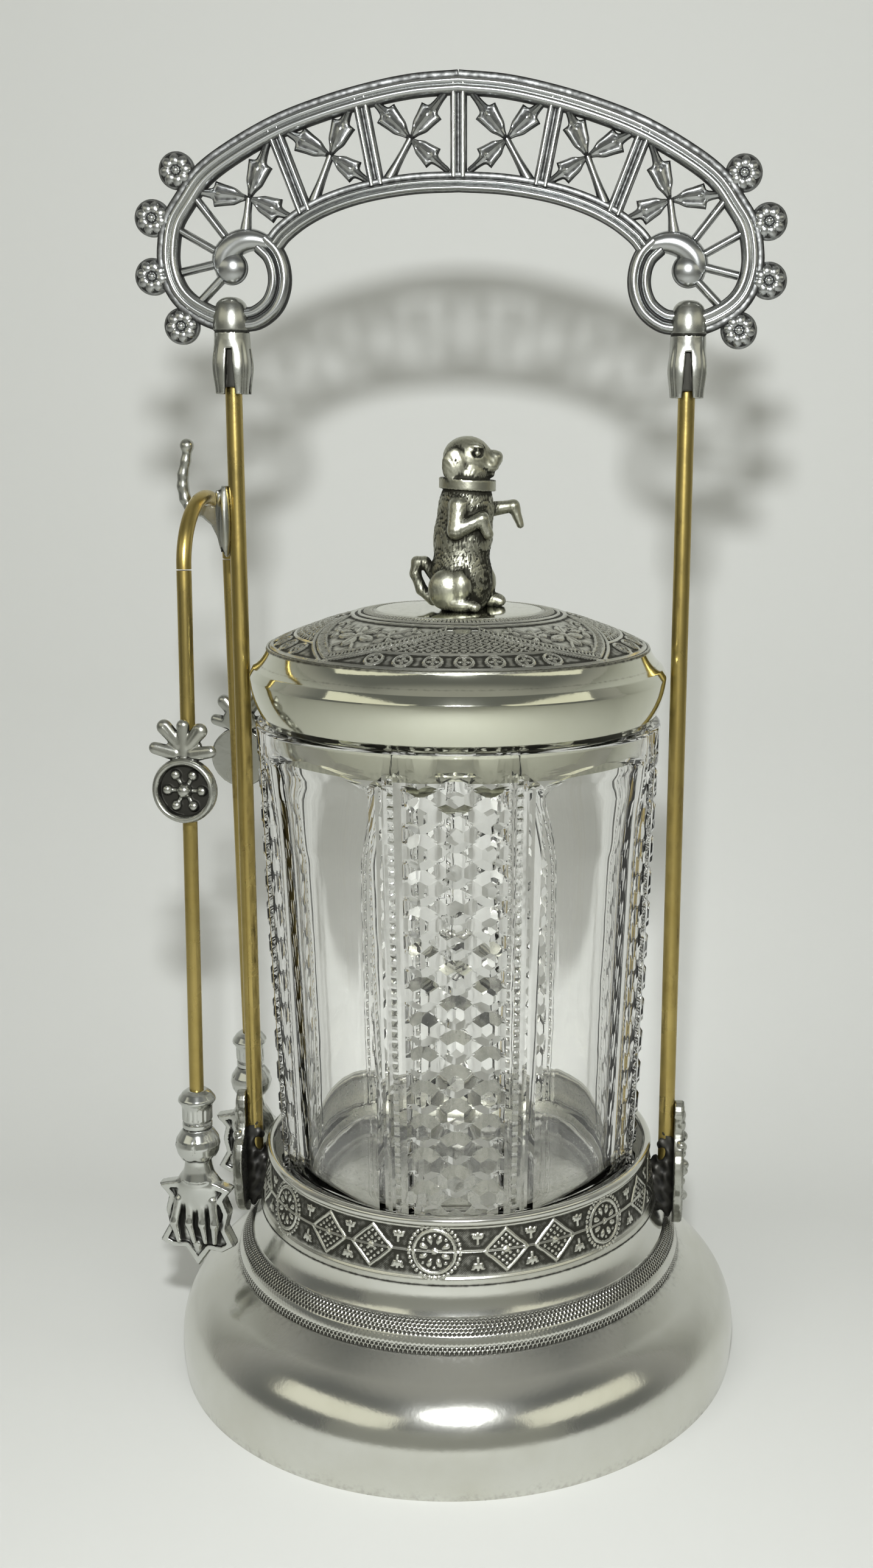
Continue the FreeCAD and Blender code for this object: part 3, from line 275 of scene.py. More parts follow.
def drawn_profile(corners, fillet=0.0):
    """A profile in millimetres. A point with a third entry is an arc's middle; sharp corners are eased."""
    points = []
    index = 0
    while index < len(corners):
        entry = corners[index]
        if len(entry) == 3:
            following = corners[(index + 1) % len(corners)]
            points.extend(arc_through(points[-1], entry[:2], following)[1:-1])
        else:
            points.append(tuple(entry))
        index += 1
    if not fillet:
        return points
    eased = [points[0]]
    for before, corner, after in zip(points, points[1:], points[2:]):
        a = np.subtract(before, corner)
        b = np.subtract(after, corner)
        length_a, length_b = np.hypot(*a), np.hypot(*b)
        turned = abs(math.pi - math.acos(max(-1, min(1, float(np.dot(a, b)) / (length_a * length_b)))))
        if turned < 0.3:
            eased.append(corner)
            continue
        cut = min(fillet, length_a * 0.45, length_b * 0.45)
        p, q = np.add(corner, a / length_a * cut), np.add(corner, b / length_b * cut)
        for t in (0.0, 0.25, 0.5, 0.75, 1.0):
            eased.append(tuple(p * (1 - t) ** 2 + np.multiply(corner, 2 * t * (1 - t)) + q * t * t))
    eased.append(points[-1])
    return eased


def full_turn(count):
    return np.linspace(0, 2 * math.pi, count, endpoint=False)


def cells(index):
    """The four corners of each cell of a grid of vertex numbers."""
    return np.stack([index[:-1, :-1], index[:-1, 1:], index[1:, 1:], index[1:, :-1]], -1).reshape(-1, 4)


def mark_recess(mesh, values):
    """How deep in a hollow each vertex lies, from 0 to 1, with painted contact shade added on a few pieces;
    the metals darken by it.
    """
    layer = mesh.attributes.new("recess", "FLOAT", "POINT")
    layer.data.foreach_set("value", np.ascontiguousarray(values, dtype=np.float32).ravel())


def net_mesh(name, net, material, closed_rows=False, recess=None, crease=None):
    """A mesh over a net of points (rows, columns, 3) in metres that closes round its columns."""
    rows, columns, _ = net.shape
    mesh = bpy.data.meshes.new(name)
    index = np.arange(rows * columns).reshape(rows, columns)
    index = np.concatenate([index, index[:, :1]], axis=1)
    if closed_rows:
        index = np.concatenate([index, index[:1]], axis=0)
    mesh.from_pydata(net.reshape(-1, 3).tolist(), [], cells(index).tolist())
    if recess is not None:
        mark_recess(mesh, recess)
    return finished_mesh(name, mesh, material, crease)


def finished_mesh(name, mesh, material, crease=None):
    """Merge doubles, point the faces outwards, shade smoothly up to the crease angle, and link the object."""
    join = 1e-7
    work = bmesh.new()
    work.from_mesh(mesh)
    bmesh.ops.remove_doubles(work, verts=work.verts, dist=join)
    bmesh.ops.dissolve_degenerate(work, edges=work.edges, dist=join)
    bmesh.ops.recalc_face_normals(work, faces=work.faces)
    work.to_mesh(mesh)
    work.free()
    mesh.polygons.foreach_set("use_smooth", [True] * len(mesh.polygons))
    if crease is not None:
        mesh.set_sharp_from_angle(angle=crease)
    mesh.materials.append(material)
    piece = bpy.data.objects.new(name, mesh)
    scene.collection.objects.link(piece)
    return piece


def turned(name, profile, material, segments=256, centre=(0.0, 0.0), closed=True, recess=None, crease=0.6):
    """A lathe-turned piece from a profile of (radius, height) in millimetres."""
    profile = np.array(profile, dtype=float)
    angle = full_turn(segments)
    radius = profile[:, 0][:, None]
    net = np.stack([
        centre[0] + radius * np.cos(angle)[None, :],
        centre[1] + radius * np.sin(angle)[None, :],
        np.repeat(profile[:, 1][:, None], segments, axis=1),
    ], -1) * MM
    shade = None
    if recess is not None:
        shade = np.repeat(np.array([recess(r, z) for r, z in profile])[:, None], segments, axis=1)
    return net_mesh(name, net, material, closed_rows=closed, recess=shade, crease=crease)


foot_wall = 1.4
foot_edge, foot_bulge, foot_shoulder = (67.5, 0.0), (67.9, 6.0), (65.1, 16.4)
foot_cove, foot_top, foot_flange = (58.0, 22.6), (54.0, 26.2), 51.0
foot_outline = drawn_profile([
    foot_edge, foot_bulge, (*foot_shoulder, "arc"), foot_cove, foot_top,
    (foot_flange, foot_top[1]), (foot_flange, foot_top[1] - foot_wall),
    (foot_top[0] - foot_wall, foot_top[1] - foot_wall), (foot_cove[0] - foot_wall, foot_cove[1] - foot_wall),
    (foot_shoulder[0] - foot_wall, foot_shoulder[1] - foot_wall, "arc"),
    (foot_bulge[0] - foot_wall, foot_bulge[1]), (foot_edge[0] - foot_wall, 0.0), foot_edge,
], fillet=0.5)[:-1]


def foot_dirt(radius, height):
    near_roll = max(0.0, 1 - abs(radius - foot_top[0] - 0.1) / 0.6) if height > 20 else 0.0
    # Painted contact shade darkens the lowest 0.7 mm of the foot, where it stands on the table; the crease
    # under the roll is tarnish, and the inside of the dome is darker too.
    near_table = max(0.0, 1 - height / 0.7) * 0.3
    inside = 0.5 if radius < 64.5 and height < 14 else 0.0
    return max(near_roll * 0.55, near_table, inside)


foot = turned("foot_dome", foot_outline, spun_silver, segments=360, recess=foot_dirt)
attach(foot, "stand")
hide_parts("foot")


# The deck stands on the foot: a roll knurled with two bands of small pits, a polished neck and a flat top.
# It is one spinning, and its knurls were rolled in; the strip between the bands is worn smooth.
def grooved(value, centre, width):
    return np.exp(-((value - centre) / width) ** 2)


def relief_net(profile, heights, columns, height_map):
    """A turned net whose outer face is raised along its normal by height_map(angle, distance along)."""
    profile = np.array(profile, dtype=float)
    step = np.gradient(profile, axis=0)
    normal = np.stack([step[:, 1], -step[:, 0]], -1)
    normal /= np.linalg.norm(normal, axis=1)[:, None]
    angle = full_turn(columns)
    raised = height_map(angle[None, :], heights[:, None])
    radius = profile[:, :1] + normal[:, :1] * raised
    height = profile[:, 1:] + normal[:, 1:] * raised
    return np.stack([radius * np.cos(angle)[None, :], radius * np.sin(angle)[None, :], height], -1), raised


def resampled(points, step):
    """Points at even steps along a polyline, with the distance of each."""
    points = np.array(points, dtype=float)
    lengths = np.concatenate([[0], np.cumsum(np.hypot(*np.diff(points, axis=0).T))])
    count = max(2, int(round(lengths[-1] / step)) + 1)
    along = np.linspace(0, lengths[-1], count)
    return np.stack([np.interp(along, lengths, column) for column in points.T], -1), along


roll_foot, roll_top, deck_top = (54.0, 26.2), (50.7, 33.0), 39.6
roll_points, roll_along = resampled(drawn_profile([roll_foot, (53.2, 30.0, "arc"), roll_top]), 0.2)
roll_length = roll_along[-1]
pit_count, pit_pitch, deepest_pit = 330, 0.82, 0.28
upper_pits, lower_pits, pits_fade = 3.9, 2.0, 0.25


def knurl(angle, along):
    row = along / pit_pitch
    stagger = 0.5 * (np.floor(row) % 2)
    across = (angle / (2 * math.pi) * pit_count + stagger) % 1.0
    up = row % 1.0
    pit = np.clip(1.15 - ((across - 0.5) / 0.42) ** 2 - ((up - 0.5) / 0.6) ** 2, 0, 1)
    patchy = 0.55 + 0.45 * np.sin(angle * 7 + 1.0) * np.sin(angle * 3 + along * 0.4)
    upper = np.clip((along - (roll_length - upper_pits)) / pits_fade, 0, 1)
    lower = np.clip((lower_pits - along) / pits_fade, 0, 1)
    middle = (1 - upper) * (1 - lower) * 0.25 * np.clip(patchy, 0, 1)
    return -deepest_pit * pit * np.clip(upper * (0.75 + 0.25 * patchy) + lower + middle, 0, 1)


pit_net, pit_raised = relief_net(roll_points, roll_along, pit_count * 4, knurl)


def plain_rings(points, angle):
    points = np.array(points)
    radius = points[:, 0][:, None]
    height = np.repeat(points[:, 1][:, None], len(angle), axis=1)
    return np.stack([radius * np.cos(angle), radius * np.sin(angle), height], -1)


roll_back = plain_rings([(49.4, roll_top[1]), (52.6, roll_foot[1])], full_turn(pit_count * 4))
roll_net = np.concatenate([pit_net, roll_back]) * MM
roll_shade = np.zeros(roll_net.shape[:2])
roll_ends = 0.6 * grooved(roll_along, 0.0, 0.25) + 0.5 * grooved(roll_along, roll_length, 0.2)
roll_shade[: len(pit_net)] = np.clip(-pit_raised / 0.16, 0, 1) * 0.95 + roll_ends[:, None]
roll = net_mesh("knurled_roll", roll_net, spun_silver, closed_rows=True, recess=roll_shade, crease=0.9)
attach(roll, "stand")
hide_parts("deck")

neck_wall = 1.4
neck_side = drawn_profile([
    (50.7, 32.6), (50.6, 33.05), (50.2, 33.25), (49.0, 36.0, "arc"), (48.4, deck_top), (44.5, deck_top),
    (0.0, deck_top), (0.0, deck_top - neck_wall), (47.0, deck_top - neck_wall), (47.6, 34.6, "arc"),
    (49.1, 32.4),
])


def neck_dirt(radius, height):
    under_band = float(grooved(height, deck_top, 0.35)) * 0.7 if radius > 47.6 else 0.0
    over_roll = float(grooved(height, roll_top[1], 0.25)) * 0.6
    return max(under_band, over_roll, 0.3 if radius < 45 else 0.0)


neck = turned("polished_neck", neck_side, spun_silver, segments=360, recess=neck_dirt)
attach(neck, "stand")


# The gallery band is a strip rolled between dies: beaded medallions, pairs of dotted diamonds, and trefoils
# above and below a fine wire line, all bright on a blackened ground. A round wire is soldered along its top.
stamped_silver = tarnished("stamped_silver", (0.64, 0.64, 0.585), (0.055, 0.054, 0.045), 0.22, grain=0.8)
band_repeats, band_columns, first_medallion = 7, 1190, math.radians(-91.7)
band_low, band_high, band_mean_radius, band_middle = deck_top, 52.4, 47.4, 46.9
medal_ring, bead_ring, bead_count, petal_count = 4.7, 5.75, 34, 8
diamond_width, diamond_height, diamond_places = 5.4, 4.9, (0.379, 0.655)
trefoil_places = (0.227, 0.517, 0.805)


def raised_dot(x, y, radius, height):
    return height * np.sqrt(np.clip(1 - (x * x + y * y) / (radius * radius), 0, 1))


def raised_line(distance, half_width, height):
    return height * np.clip(1 - (distance / half_width) ** 2, 0, 1) ** 0.5


def crevices(raised, reach, gain):
    """Where tarnish stays: how far each place of a relief lies below the mean round it, from 0 to 1."""
    wide = raised
    for axis, span in ((0, reach[0]), (1, reach[1])):
        wide = sum(np.roll(wide, k, axis) for k in range(-span, span + 1)) / (2 * span + 1)
    return np.clip((wide - raised) * gain, 0, 1)


def band_relief(angle, height):
    repeat = 2 * math.pi / band_repeats
    phase = ((angle - first_medallion) / repeat) % 1.0
    up = height - band_middle + 0 * phase
    length = repeat * band_mean_radius
    x = (((phase + 0.5) % 1.0) - 0.5) * length + 0 * up
    reach = np.hypot(x, up)
    turns = np.arctan2(up, x) / (2 * math.pi)
    raised = raised_line(reach - medal_ring, 0.42, 0.42)
    bead = (turns * bead_count) % 1.0 - 0.5
    petal = (turns * petal_count) % 1.0 - 0.5
    between = (turns * petal_count + 0.5) % 1.0 - 0.5
    for feature in (
            raised_dot(bead * 2 * math.pi * bead_ring / bead_count, reach - bead_ring, 0.42, 0.4),
            raised_dot(petal * 2 * math.pi * 2.6 / petal_count * 1.15, (reach - 2.7) * 0.62, 0.62, 0.45),
            raised_dot(x, up, 0.75, 0.45),
            raised_dot(between * 2 * math.pi * 3.6 / petal_count, reach - 3.6, 0.33, 0.3)):
        raised = np.maximum(raised, feature)
    for centre in diamond_places:
        x = (phase - centre) * length + 0 * up
        edge = np.abs(x) / diamond_width + np.abs(up) / diamond_height
        raised = np.maximum(raised, raised_line((edge - 0.92) * 3.7, 0.36, 0.42))
        u, w = (x / diamond_width + up / diamond_height), (x / diamond_width - up / diamond_height)
        cell_u, cell_w = (u * 3.1 + 0.5) % 1.0 - 0.5, (w * 3.1 + 0.5) % 1.0 - 0.5
        dots = raised_dot(cell_u * 1.25, cell_w * 1.25, 0.36, 0.34)
        raised = np.maximum(raised, np.where(edge < 0.78, dots, 0))
        raised = np.maximum(raised, raised_dot(x, up, 0.8, 0.4))
    for centre in trefoil_places:
        x = (phase - centre) * length
        for flip in (1, -1):
            y = up * flip - 3.0
            stem = raised_line(x * 1.6 + 0 * y, 0.5, 0.36) * ((y > -1.6) & (y < 1.2))
            wings = raised_line(np.abs(x) - 0.75 - (y - 0.1) * 0.35, 0.42, 0.36) * ((y > -0.35) & (y < 1.0))
            heart = raised_dot(x, y - 0.25, 0.75, 0.38)
            raised = np.maximum(raised, np.maximum(stem, np.maximum(wings, heart)))
    raised = np.maximum(raised, raised_line(up, 0.26, 0.5))
    plain_foot = np.clip((41.3 - height) / 0.3, 0, 1)
    plain_top = np.clip((height - 51.9) / 0.2, 0, 1)
    return np.maximum(raised, np.maximum(0.3 * plain_foot, 0.2 * plain_top) + 0 * phase)


band_heights = np.linspace(band_low, band_high, 54)
band_lean = 2.1 / 12.8
band_profile = np.stack([48.4 - (band_heights - band_low) * band_lean - 0.42, band_heights], -1)
band_net, band_raised = relief_net(band_profile, band_heights, band_columns, band_relief)
band_net[..., 2] = np.clip(band_net[..., 2], band_low, band_high)
band_angle = full_turn(band_columns)
band_back = plain_rings([(45.1, band_high), (46.1, 46.0), (47.2, band_low)], band_angle)
speckle = 0.5 + 0.5 * np.sin(band_angle * 611.0)[None, :] * np.sin(band_heights * 13.0)[:, None]
band_shade = np.clip(1.05 - band_raised / 0.2, 0, 1) * (0.56 + 0.22 * speckle)
band_shade = band_shade + crevices(band_raised, (3, 3), 2.2)
fade = (np.clip(band_heights - 41.1, 0.1, 1) * np.clip((52.6 - band_heights) / 0.9, 0.35, 1))[:, None]
band_shade = band_shade * fade + 0.7 * grooved(band_heights, band_low, 0.3)[:, None]
band_shade = np.concatenate([band_shade, np.full((3, band_columns), 0.35)])
gallery = net_mesh("gallery_strip", np.concatenate([band_net, band_back]) * MM, stamped_silver,
                   closed_rows=True, recess=band_shade, crease=1.2)
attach(gallery, "stand")
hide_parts("gallery_band")

rim_reach, rim_height, rim_thick = 45.7, 53.5, 1.1
wire_ring = [
    (rim_reach + rim_thick * math.cos(a), rim_height + rim_thick * math.sin(a)) for a in full_turn(20)]
rim = turned(
    "gallery_wire", wire_ring, spun_silver, segments=320, recess=lambda r, z: 0.75 if z < 52.7 else 0.0)
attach(rim, "stand")
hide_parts("gallery_rim")


# The jar is pressed glass: four panels of hexagon buttons, each between a plain and a notched rib,
# with a flute beyond them and a wide plain window between one panel and the next. It lifts out.
glass, nodes, links, glass_shader = node_material("pressed_glass")
glass_shader.inputs["Base Color"].default_value = (0.99, 0.99, 0.98, 1)
glass_shader.inputs["Roughness"].default_value = 0.0
glass_shader.inputs["IOR"].default_value = 1.5
glass_shader.inputs["Transmission Weight"].default_value = 1.0
glass_place = added(nodes, "ShaderNodeTexCoord")
glass_noise = added(nodes, "ShaderNodeTexNoise", {"Scale": 60.0})
glass_bump = added(nodes, "ShaderNodeBump", {"Strength": 0.25, "Distance": 0.0004})
linked(
    links,
    (glass_place.outputs["Object"], glass_noise.inputs["Vector"]),
    (glass_noise.outputs["Fac"], glass_bump.inputs["Height"]),
    (glass_bump.outputs["Normal"], glass_shader.inputs["Normal"]),
)

jar_bottom, jar_top = 39.7, 157.5
jar_base_radius, jar_rim_radius, jar_middle_radius, jar_wall = 42.9, 46.6, 45.2, 2.9
button_pitch, column_step = 7.911, 0.925
pattern_low, pattern_high, row_step = 45.5, 153.5, button_pitch / 16
panel_centre = math.radians(-86.0)
panel_edge, rib_start, rib_middle, rib_end = 13.99, 16.3, 17.3, 18.5
flute_middle, window_start, window_middle = 20.9, 23.3, 45.0
edge_angles = (14.2, 15.1, 16.2, 16.75, 17.3, 17.85, 18.4, 19.2, 20.0, 20.9, 21.8, 22.6, 23.3)
window_angles = (24.5, 27.0, 31.0, 35.0, 40.0)
half_columns = [column_step * i / jar_middle_radius for i in range(0, 13)]
half_columns += [math.radians(a) for a in edge_angles + window_angles]
quarter = [-a for a in half_columns[:0:-1]] + half_columns + [math.radians(window_middle)]
jar_angles = np.concatenate([np.array(quarter) + panel_centre + k * math.pi / 2 for k in range(4)])
pattern_count = math.floor((pattern_high - pattern_low) / row_step) + 1
pattern_rows = pattern_low + np.arange(-2, pattern_count) * row_step


def hexagon_button(x, y):
    """Depth among upright hexagons that stand point to point: 0 on their flat tables, 1 between them."""
    spacing = column_step * 8
    half_height = button_pitch / 2
    depth = np.full(np.broadcast(x, y).shape, 9.0)
    for shift_x, shift_y in ((0, 0), (spacing, half_height)):
        cell_x = np.abs((x - shift_x + spacing) % (2 * spacing) - spacing)
        cell_y = np.abs((y - pattern_low - shift_y + half_height) % button_pitch - half_height)
        upright = cell_x / (spacing / 2)
        slant = cell_x / spacing + cell_y / half_height
        depth = np.minimum(depth, np.maximum(upright, slant))
    return np.clip((depth - 0.5) / 0.5, 0, 1.25)


def jar_relief(angle, height):
    offset = (angle - panel_centre + math.pi / 4) % (math.pi / 2) - math.pi / 4
    arc = offset * jar_middle_radius
    degrees = np.abs(np.degrees(offset))
    depth = np.zeros(np.broadcast(arc, height).shape)
    depth = np.where(degrees < panel_edge, 1.35 * hexagon_button(arc, height), depth)
    notch_phase = ((height - pattern_low) / (row_step * 5)) % 1.0
    notch = np.clip(1 - np.abs(notch_phase - 0.5) / 0.42, 0, 1)
    rib = np.clip(1 - ((degrees - rib_middle) / 1.15) ** 2, 0, 1)
    depth = np.where((degrees > panel_edge) & (degrees <= rib_start), 0.25, depth)
    depth = np.where((degrees > rib_start) & (degrees < rib_end), 1.0 - 0.8 * rib + notch * rib, depth)
    flute = 1.25 * np.clip(1 - ((degrees - flute_middle) / 2.5) ** 2, 0, 1)
    depth = np.where((degrees >= rib_end) & (degrees < window_start), np.maximum(flute, 0.3), depth)
    across_window = np.clip((degrees - window_start) / 14.0, 0, 1)
    window = 0.3 + 0.9 * across_window * (2 - across_window)
    depth = np.where(degrees >= window_start, window + 0 * height, depth)
    arch = 151.5 - 1.6 * np.clip((degrees - flute_middle) / 2.4, -1, 1) ** 2
    window_share = np.clip((degrees - window_start) / (window_middle - window_start), 0, 1)
    window_arch = 150.2 + 4.4 * np.sin(window_share * math.pi / 2)
    arch = np.where(degrees < rib_end, 154.0, np.where(degrees > window_start, window_arch, arch))
    ends = np.clip((arch - height) / 1.3, 0, 1) * np.clip(height - 44.5, 0, 1)
    return -depth * ends


rim_round, heel = 0.8, 3.0
lower = drawn_profile([
    (0.0, jar_bottom), (28.0, jar_bottom), (jar_base_radius - heel, jar_bottom),
    (jar_base_radius - heel * 0.293, jar_bottom + heel * 0.293, "arc"), (jar_base_radius, jar_bottom + heel),
])
slope = (jar_rim_radius - jar_base_radius) / (jar_top - rim_round - jar_bottom - heel)
side = [(jar_base_radius + (z - jar_bottom - heel) * slope, z) for z in pattern_rows]
upper = drawn_profile([
    (jar_rim_radius, jar_top - rim_round), (jar_rim_radius - 0.23, jar_top - 0.23, "arc"),
    (jar_rim_radius - rim_round, jar_top), (jar_rim_radius - jar_wall, jar_top),
    (43.5, 150.0), (42.3, 141.0, "arc"), (41.3, 130.0), (39.8, 95.0), (38.2, 56.0),
    (36.8, 49.6, "arc"), (32.0, 47.4), (0.0, 46.9),
])
jar_profile = np.array(lower + side + upper)
jar_angle = jar_angles[None, :]
jar_heights = jar_profile[:, 1][:, None]
is_side = np.zeros(len(jar_profile), dtype=bool)
is_side[len(lower): len(lower) + len(side)] = True
jar_raised = np.where(is_side[:, None], jar_relief(jar_angle, jar_heights), 0.0)
is_inside = np.arange(len(jar_profile)) >= len(lower) + len(side)
thinned = np.clip((jar_profile[:, 1] - 52.0) / 8.0, 0, 1) * np.clip((146.0 - jar_profile[:, 1]) / 14.0, 0, 1)
from_window = np.abs(np.degrees((jar_angle - panel_centre) % (math.pi / 2)) - window_middle)
jar_raised = jar_raised + (is_inside * thinned)[:, None] * 1.5 * np.clip(1 - (from_window / 25) ** 2, 0, 1)
jar_radius = jar_profile[:, 0][:, None] + jar_raised
jar_net = np.stack([
    jar_radius * np.cos(jar_angle), jar_radius * np.sin(jar_angle), jar_heights + 0 * jar_radius], -1)


def faceted_net(name, net, middles, material, crease):
    """A net that closes round, each cell cut along the diagonal that lies nearer the cell's true middle."""
    rows, columns, _ = net.shape
    index = np.arange(rows * columns).reshape(rows, columns)
    index = np.concatenate([index, index[:, :1]], axis=1)
    a, b, c, d = (index[:-1, :-1], index[:-1, 1:], index[1:, 1:], index[1:, :-1])
    points = net.reshape(-1, 3)
    depth = np.hypot(points[:, 0], points[:, 1])
    rising = np.abs((depth[a] + depth[c]) / 2 - middles) <= np.abs((depth[b] + depth[d]) / 2 - middles)
    first = np.where(rising[..., None], np.stack([a, b, c], -1), np.stack([a, b, d], -1))
    second = np.where(rising[..., None], np.stack([a, c, d], -1), np.stack([b, c, d], -1))
    mesh = bpy.data.meshes.new(name)
    triangles = np.concatenate([first.reshape(-1, 3), second.reshape(-1, 3)])
    mesh.from_pydata(points.tolist(), [], triangles.tolist())
    return finished_mesh(name, mesh, material, crease)


next_angle = np.concatenate([jar_angles[1:], jar_angles[:1] + 2 * math.pi])
middle_angle = ((jar_angles + next_angle) / 2)[None, :]
middle_height = ((jar_profile[:-1, 1] + jar_profile[1:, 1]) / 2)[:, None]
middle_radius = ((jar_profile[:-1, 0] + jar_profile[1:, 0]) / 2)[:, None]
middle_depth = np.where((is_side[:-1] & is_side[1:])[:, None], jar_relief(middle_angle, middle_height), 0.0)
jar = faceted_net("hexagon_jar", jar_net * MM, (middle_radius + middle_depth) * MM, glass, 0.3)
jar.visible_shadow = False
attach(jar, "jar")
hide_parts("jar")


# The lid is spun and stamped sheet: a polished bulge over the jar's rim, and above it a stamped slope
# with ring rosettes, ladder strips, lattice and flower panels, up to a plain round plateau for the dog.
polished_silver = tarnished(
    "polished_silver", (0.69, 0.695, 0.59), (0.06, 0.058, 0.05), 0.07, mottle=0.25, grain=0.25)
lid_repeat, lid_front, lid_columns = math.pi / 2, math.radians(-83.4), 1200
plateau = 182.5
lattice_radius, ring_radius, spray_radius, ring_step = 33.0, 39.9, 31.2, 9.3


def strip_radius(degrees):
    share = np.clip((degrees - 7.0) / 40.0, 0, 1)
    return 26.8 + 15.4 * share + 0.3 * np.sin(share * math.pi)


def flower(x, y, petals, length, width, height, turned_by=0.0):
    """Pointed petals round a bead."""
    around = np.arctan2(y, x) - turned_by
    reach = np.hypot(x, y)
    sector = (around / (2 * math.pi) * petals + 0.5) % 1.0 - 0.5
    across = np.sin(sector * 2 * math.pi / petals) * reach
    share = (np.cos(sector * 2 * math.pi / petals) * reach - length * 0.56) / (length * 0.44)
    half = width * np.clip(1 - share * share, 1e-3, 1)
    leaf = height * np.sqrt(np.clip(1 - (across / half) ** 2, 0, 1)) * (np.abs(share) < 1)
    vein = 1 - 0.6 * np.exp(-(across / 0.16) ** 2)
    return np.maximum(leaf * vein, raised_dot(x, y, length * 0.2, height * 1.1))


def stem(x, y, points, half_width, height):
    """A raised line through points."""
    raised = np.zeros(np.broadcast(x, y).shape)
    for (ax, ay), (bx, by) in zip(points, points[1:]):
        squared = (bx - ax) ** 2 + (by - ay) ** 2
        share = np.clip(((x - ax) * (bx - ax) + (y - ay) * (by - ay)) / squared, 0, 1)
        aside = np.hypot(x - ax - share * (bx - ax), y - ay - share * (by - ay))
        raised = np.maximum(raised, raised_line(aside, half_width, height))
    return raised


def lid_relief(angle, radius):
    phase = (angle - lid_front + lid_repeat / 2) % lid_repeat - lid_repeat / 2 + 0 * radius
    degrees = np.abs(np.degrees(phase))
    radius = radius + 0 * phase
    raised = np.zeros(radius.shape)
    strip = strip_radius(degrees) - radius
    ladder = (strip > 0.45) & (strip < 1.75) & (degrees > 7.5) & (radius < 42.2)
    rungs = raised_line((np.degrees(phase) * radius / 58) % 1.0 - 0.5, 0.3, 0.34)
    raised = np.maximum(raised, np.where(ladder, rungs, 0))
    for line, half in ((0.1, 0.34), (2.1, 0.34), (-1.0, 0.42)):
        raised = np.maximum(raised, raised_line(strip - line, half, 0.42) * (degrees > 4.0) * (radius < 42.3))
    outside = (strip < -1.5) & (radius < 36.7)
    x, y, cell = phase * lattice_radius, radius - lattice_radius, 2.1
    u, w = x / 3.4 + y / 2.7, x / 3.4 - y / 2.7
    lattice = np.maximum(*(raised_line(((v % 1.0) - 0.5) * cell, 0.24, 0.34) for v in (u, w)))
    beads = raised_dot(*((((v + 0.5) % 1.0) - 0.5) * cell for v in (u, w)), 0.56, 0.42)
    raised = np.where(outside, np.maximum(raised, np.maximum(lattice, beads)), raised)
    band = (radius > 37.5) & (strip < -1.4)
    for line in (37.1, 42.5):
        raised = np.maximum(raised, raised_line(radius - line, 0.36, 0.42) * (strip < -1.1))
    number = np.clip(np.round(np.degrees(phase) / ring_step), -3, 3)
    rx, ry = (np.degrees(phase) / ring_step - number) * 6.52, radius - ring_radius
    ring = raised_line(np.hypot(rx, ry) - 1.85, 0.36, 0.45)
    bloom = flower(rx, ry, 4, 1.45, 0.5, 0.42)
    raised = np.where(band, np.maximum(raised, np.maximum(ring, bloom)), raised)
    px = (np.degrees(phase) - np.sign(phase + 1e-9) * 45) * math.pi / 180 * 31.0
    py = radius - spray_radius
    spray = flower(px, py, 5, 5.2, 1.35, 0.5, math.pi / 2)
    bells = flower(np.abs(px) - 7.6, py + 0.2, 5, 3.6, 0.85, 0.44, 0.9)
    buds = flower(np.abs(px) - 12.6, py + 3.6, 3, 2.4, 0.7, 0.4, 0.2)
    trail = [(1.0, -0.8), (4.4, -2.6), (7.6, -1.6), (10.6, -4.0), (13.6, -4.6)]
    stems = stem(np.abs(px), py, trail, 0.3, 0.3)
    tips = stem(np.abs(px), py, [(1.2, 3.4), (2.6, 5.6), (1.0, 7.6)], 0.34, 0.34)
    garland = np.maximum(np.maximum(spray, bells), np.maximum(np.maximum(buds, stems), tips))
    raised = np.where((strip > 2.6) & (radius > 25.2), np.maximum(raised, garland), raised)
    for line, half in ((24.3, 0.5), (22.7, 0.42)):
        raised = np.maximum(raised, raised_line(radius - line, half, 0.45))
    ticks = raised_line((((angle / (2 * math.pi) * 144) % 1.0) - 0.5) * 0.92 + 0 * radius, 0.3, 0.36)
    return np.maximum(raised, np.where((radius > 19.9) & (radius < 21.7), ticks, 0))


lid_slope = drawn_profile([(43.7, 174.5), (33.0, 179.0, "arc"), (20.7, plateau), (19.0, plateau)])
lid_points, lid_along = resampled(lid_slope, 0.33)
off_ends = np.clip(np.minimum(lid_along, lid_along[-1] - lid_along) / 0.8, 0, 1)[:, None]
lid_points = lid_points - np.array([0.0, 0.42]) * off_ends
lid_net, lid_raised = relief_net(lid_points, lid_points[:, 0], lid_columns, lid_relief)
lid_angle = full_turn(lid_columns)
lid_back = plain_rings([(19.4, 181.7), (32.6, 178.1), (43.1, 173.7)], lid_angle)
lid_net = np.concatenate([lid_net, lid_back]) * MM
lid_shade = np.full(lid_net.shape[:2], 0.2)
front_phase = np.abs((np.degrees(lid_angle - lid_front) + 45) % 90 - 45)[None, :]
in_fan = strip_radius(front_phase) - lid_points[:, :1] < -1.2
lid_ground = np.clip(1.0 - lid_raised / 0.25, 0, 1)
slope_shade = (0.32 + 0.2 * in_fan) * lid_ground + crevices(lid_raised, (3, 4), 3.2)
lid_shade[: len(lid_points)] = slope_shade * off_ends
slope = net_mesh("stamped_slope", lid_net, stamped_silver, closed_rows=True, recess=lid_shade, crease=1.0)
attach(slope, "lid")

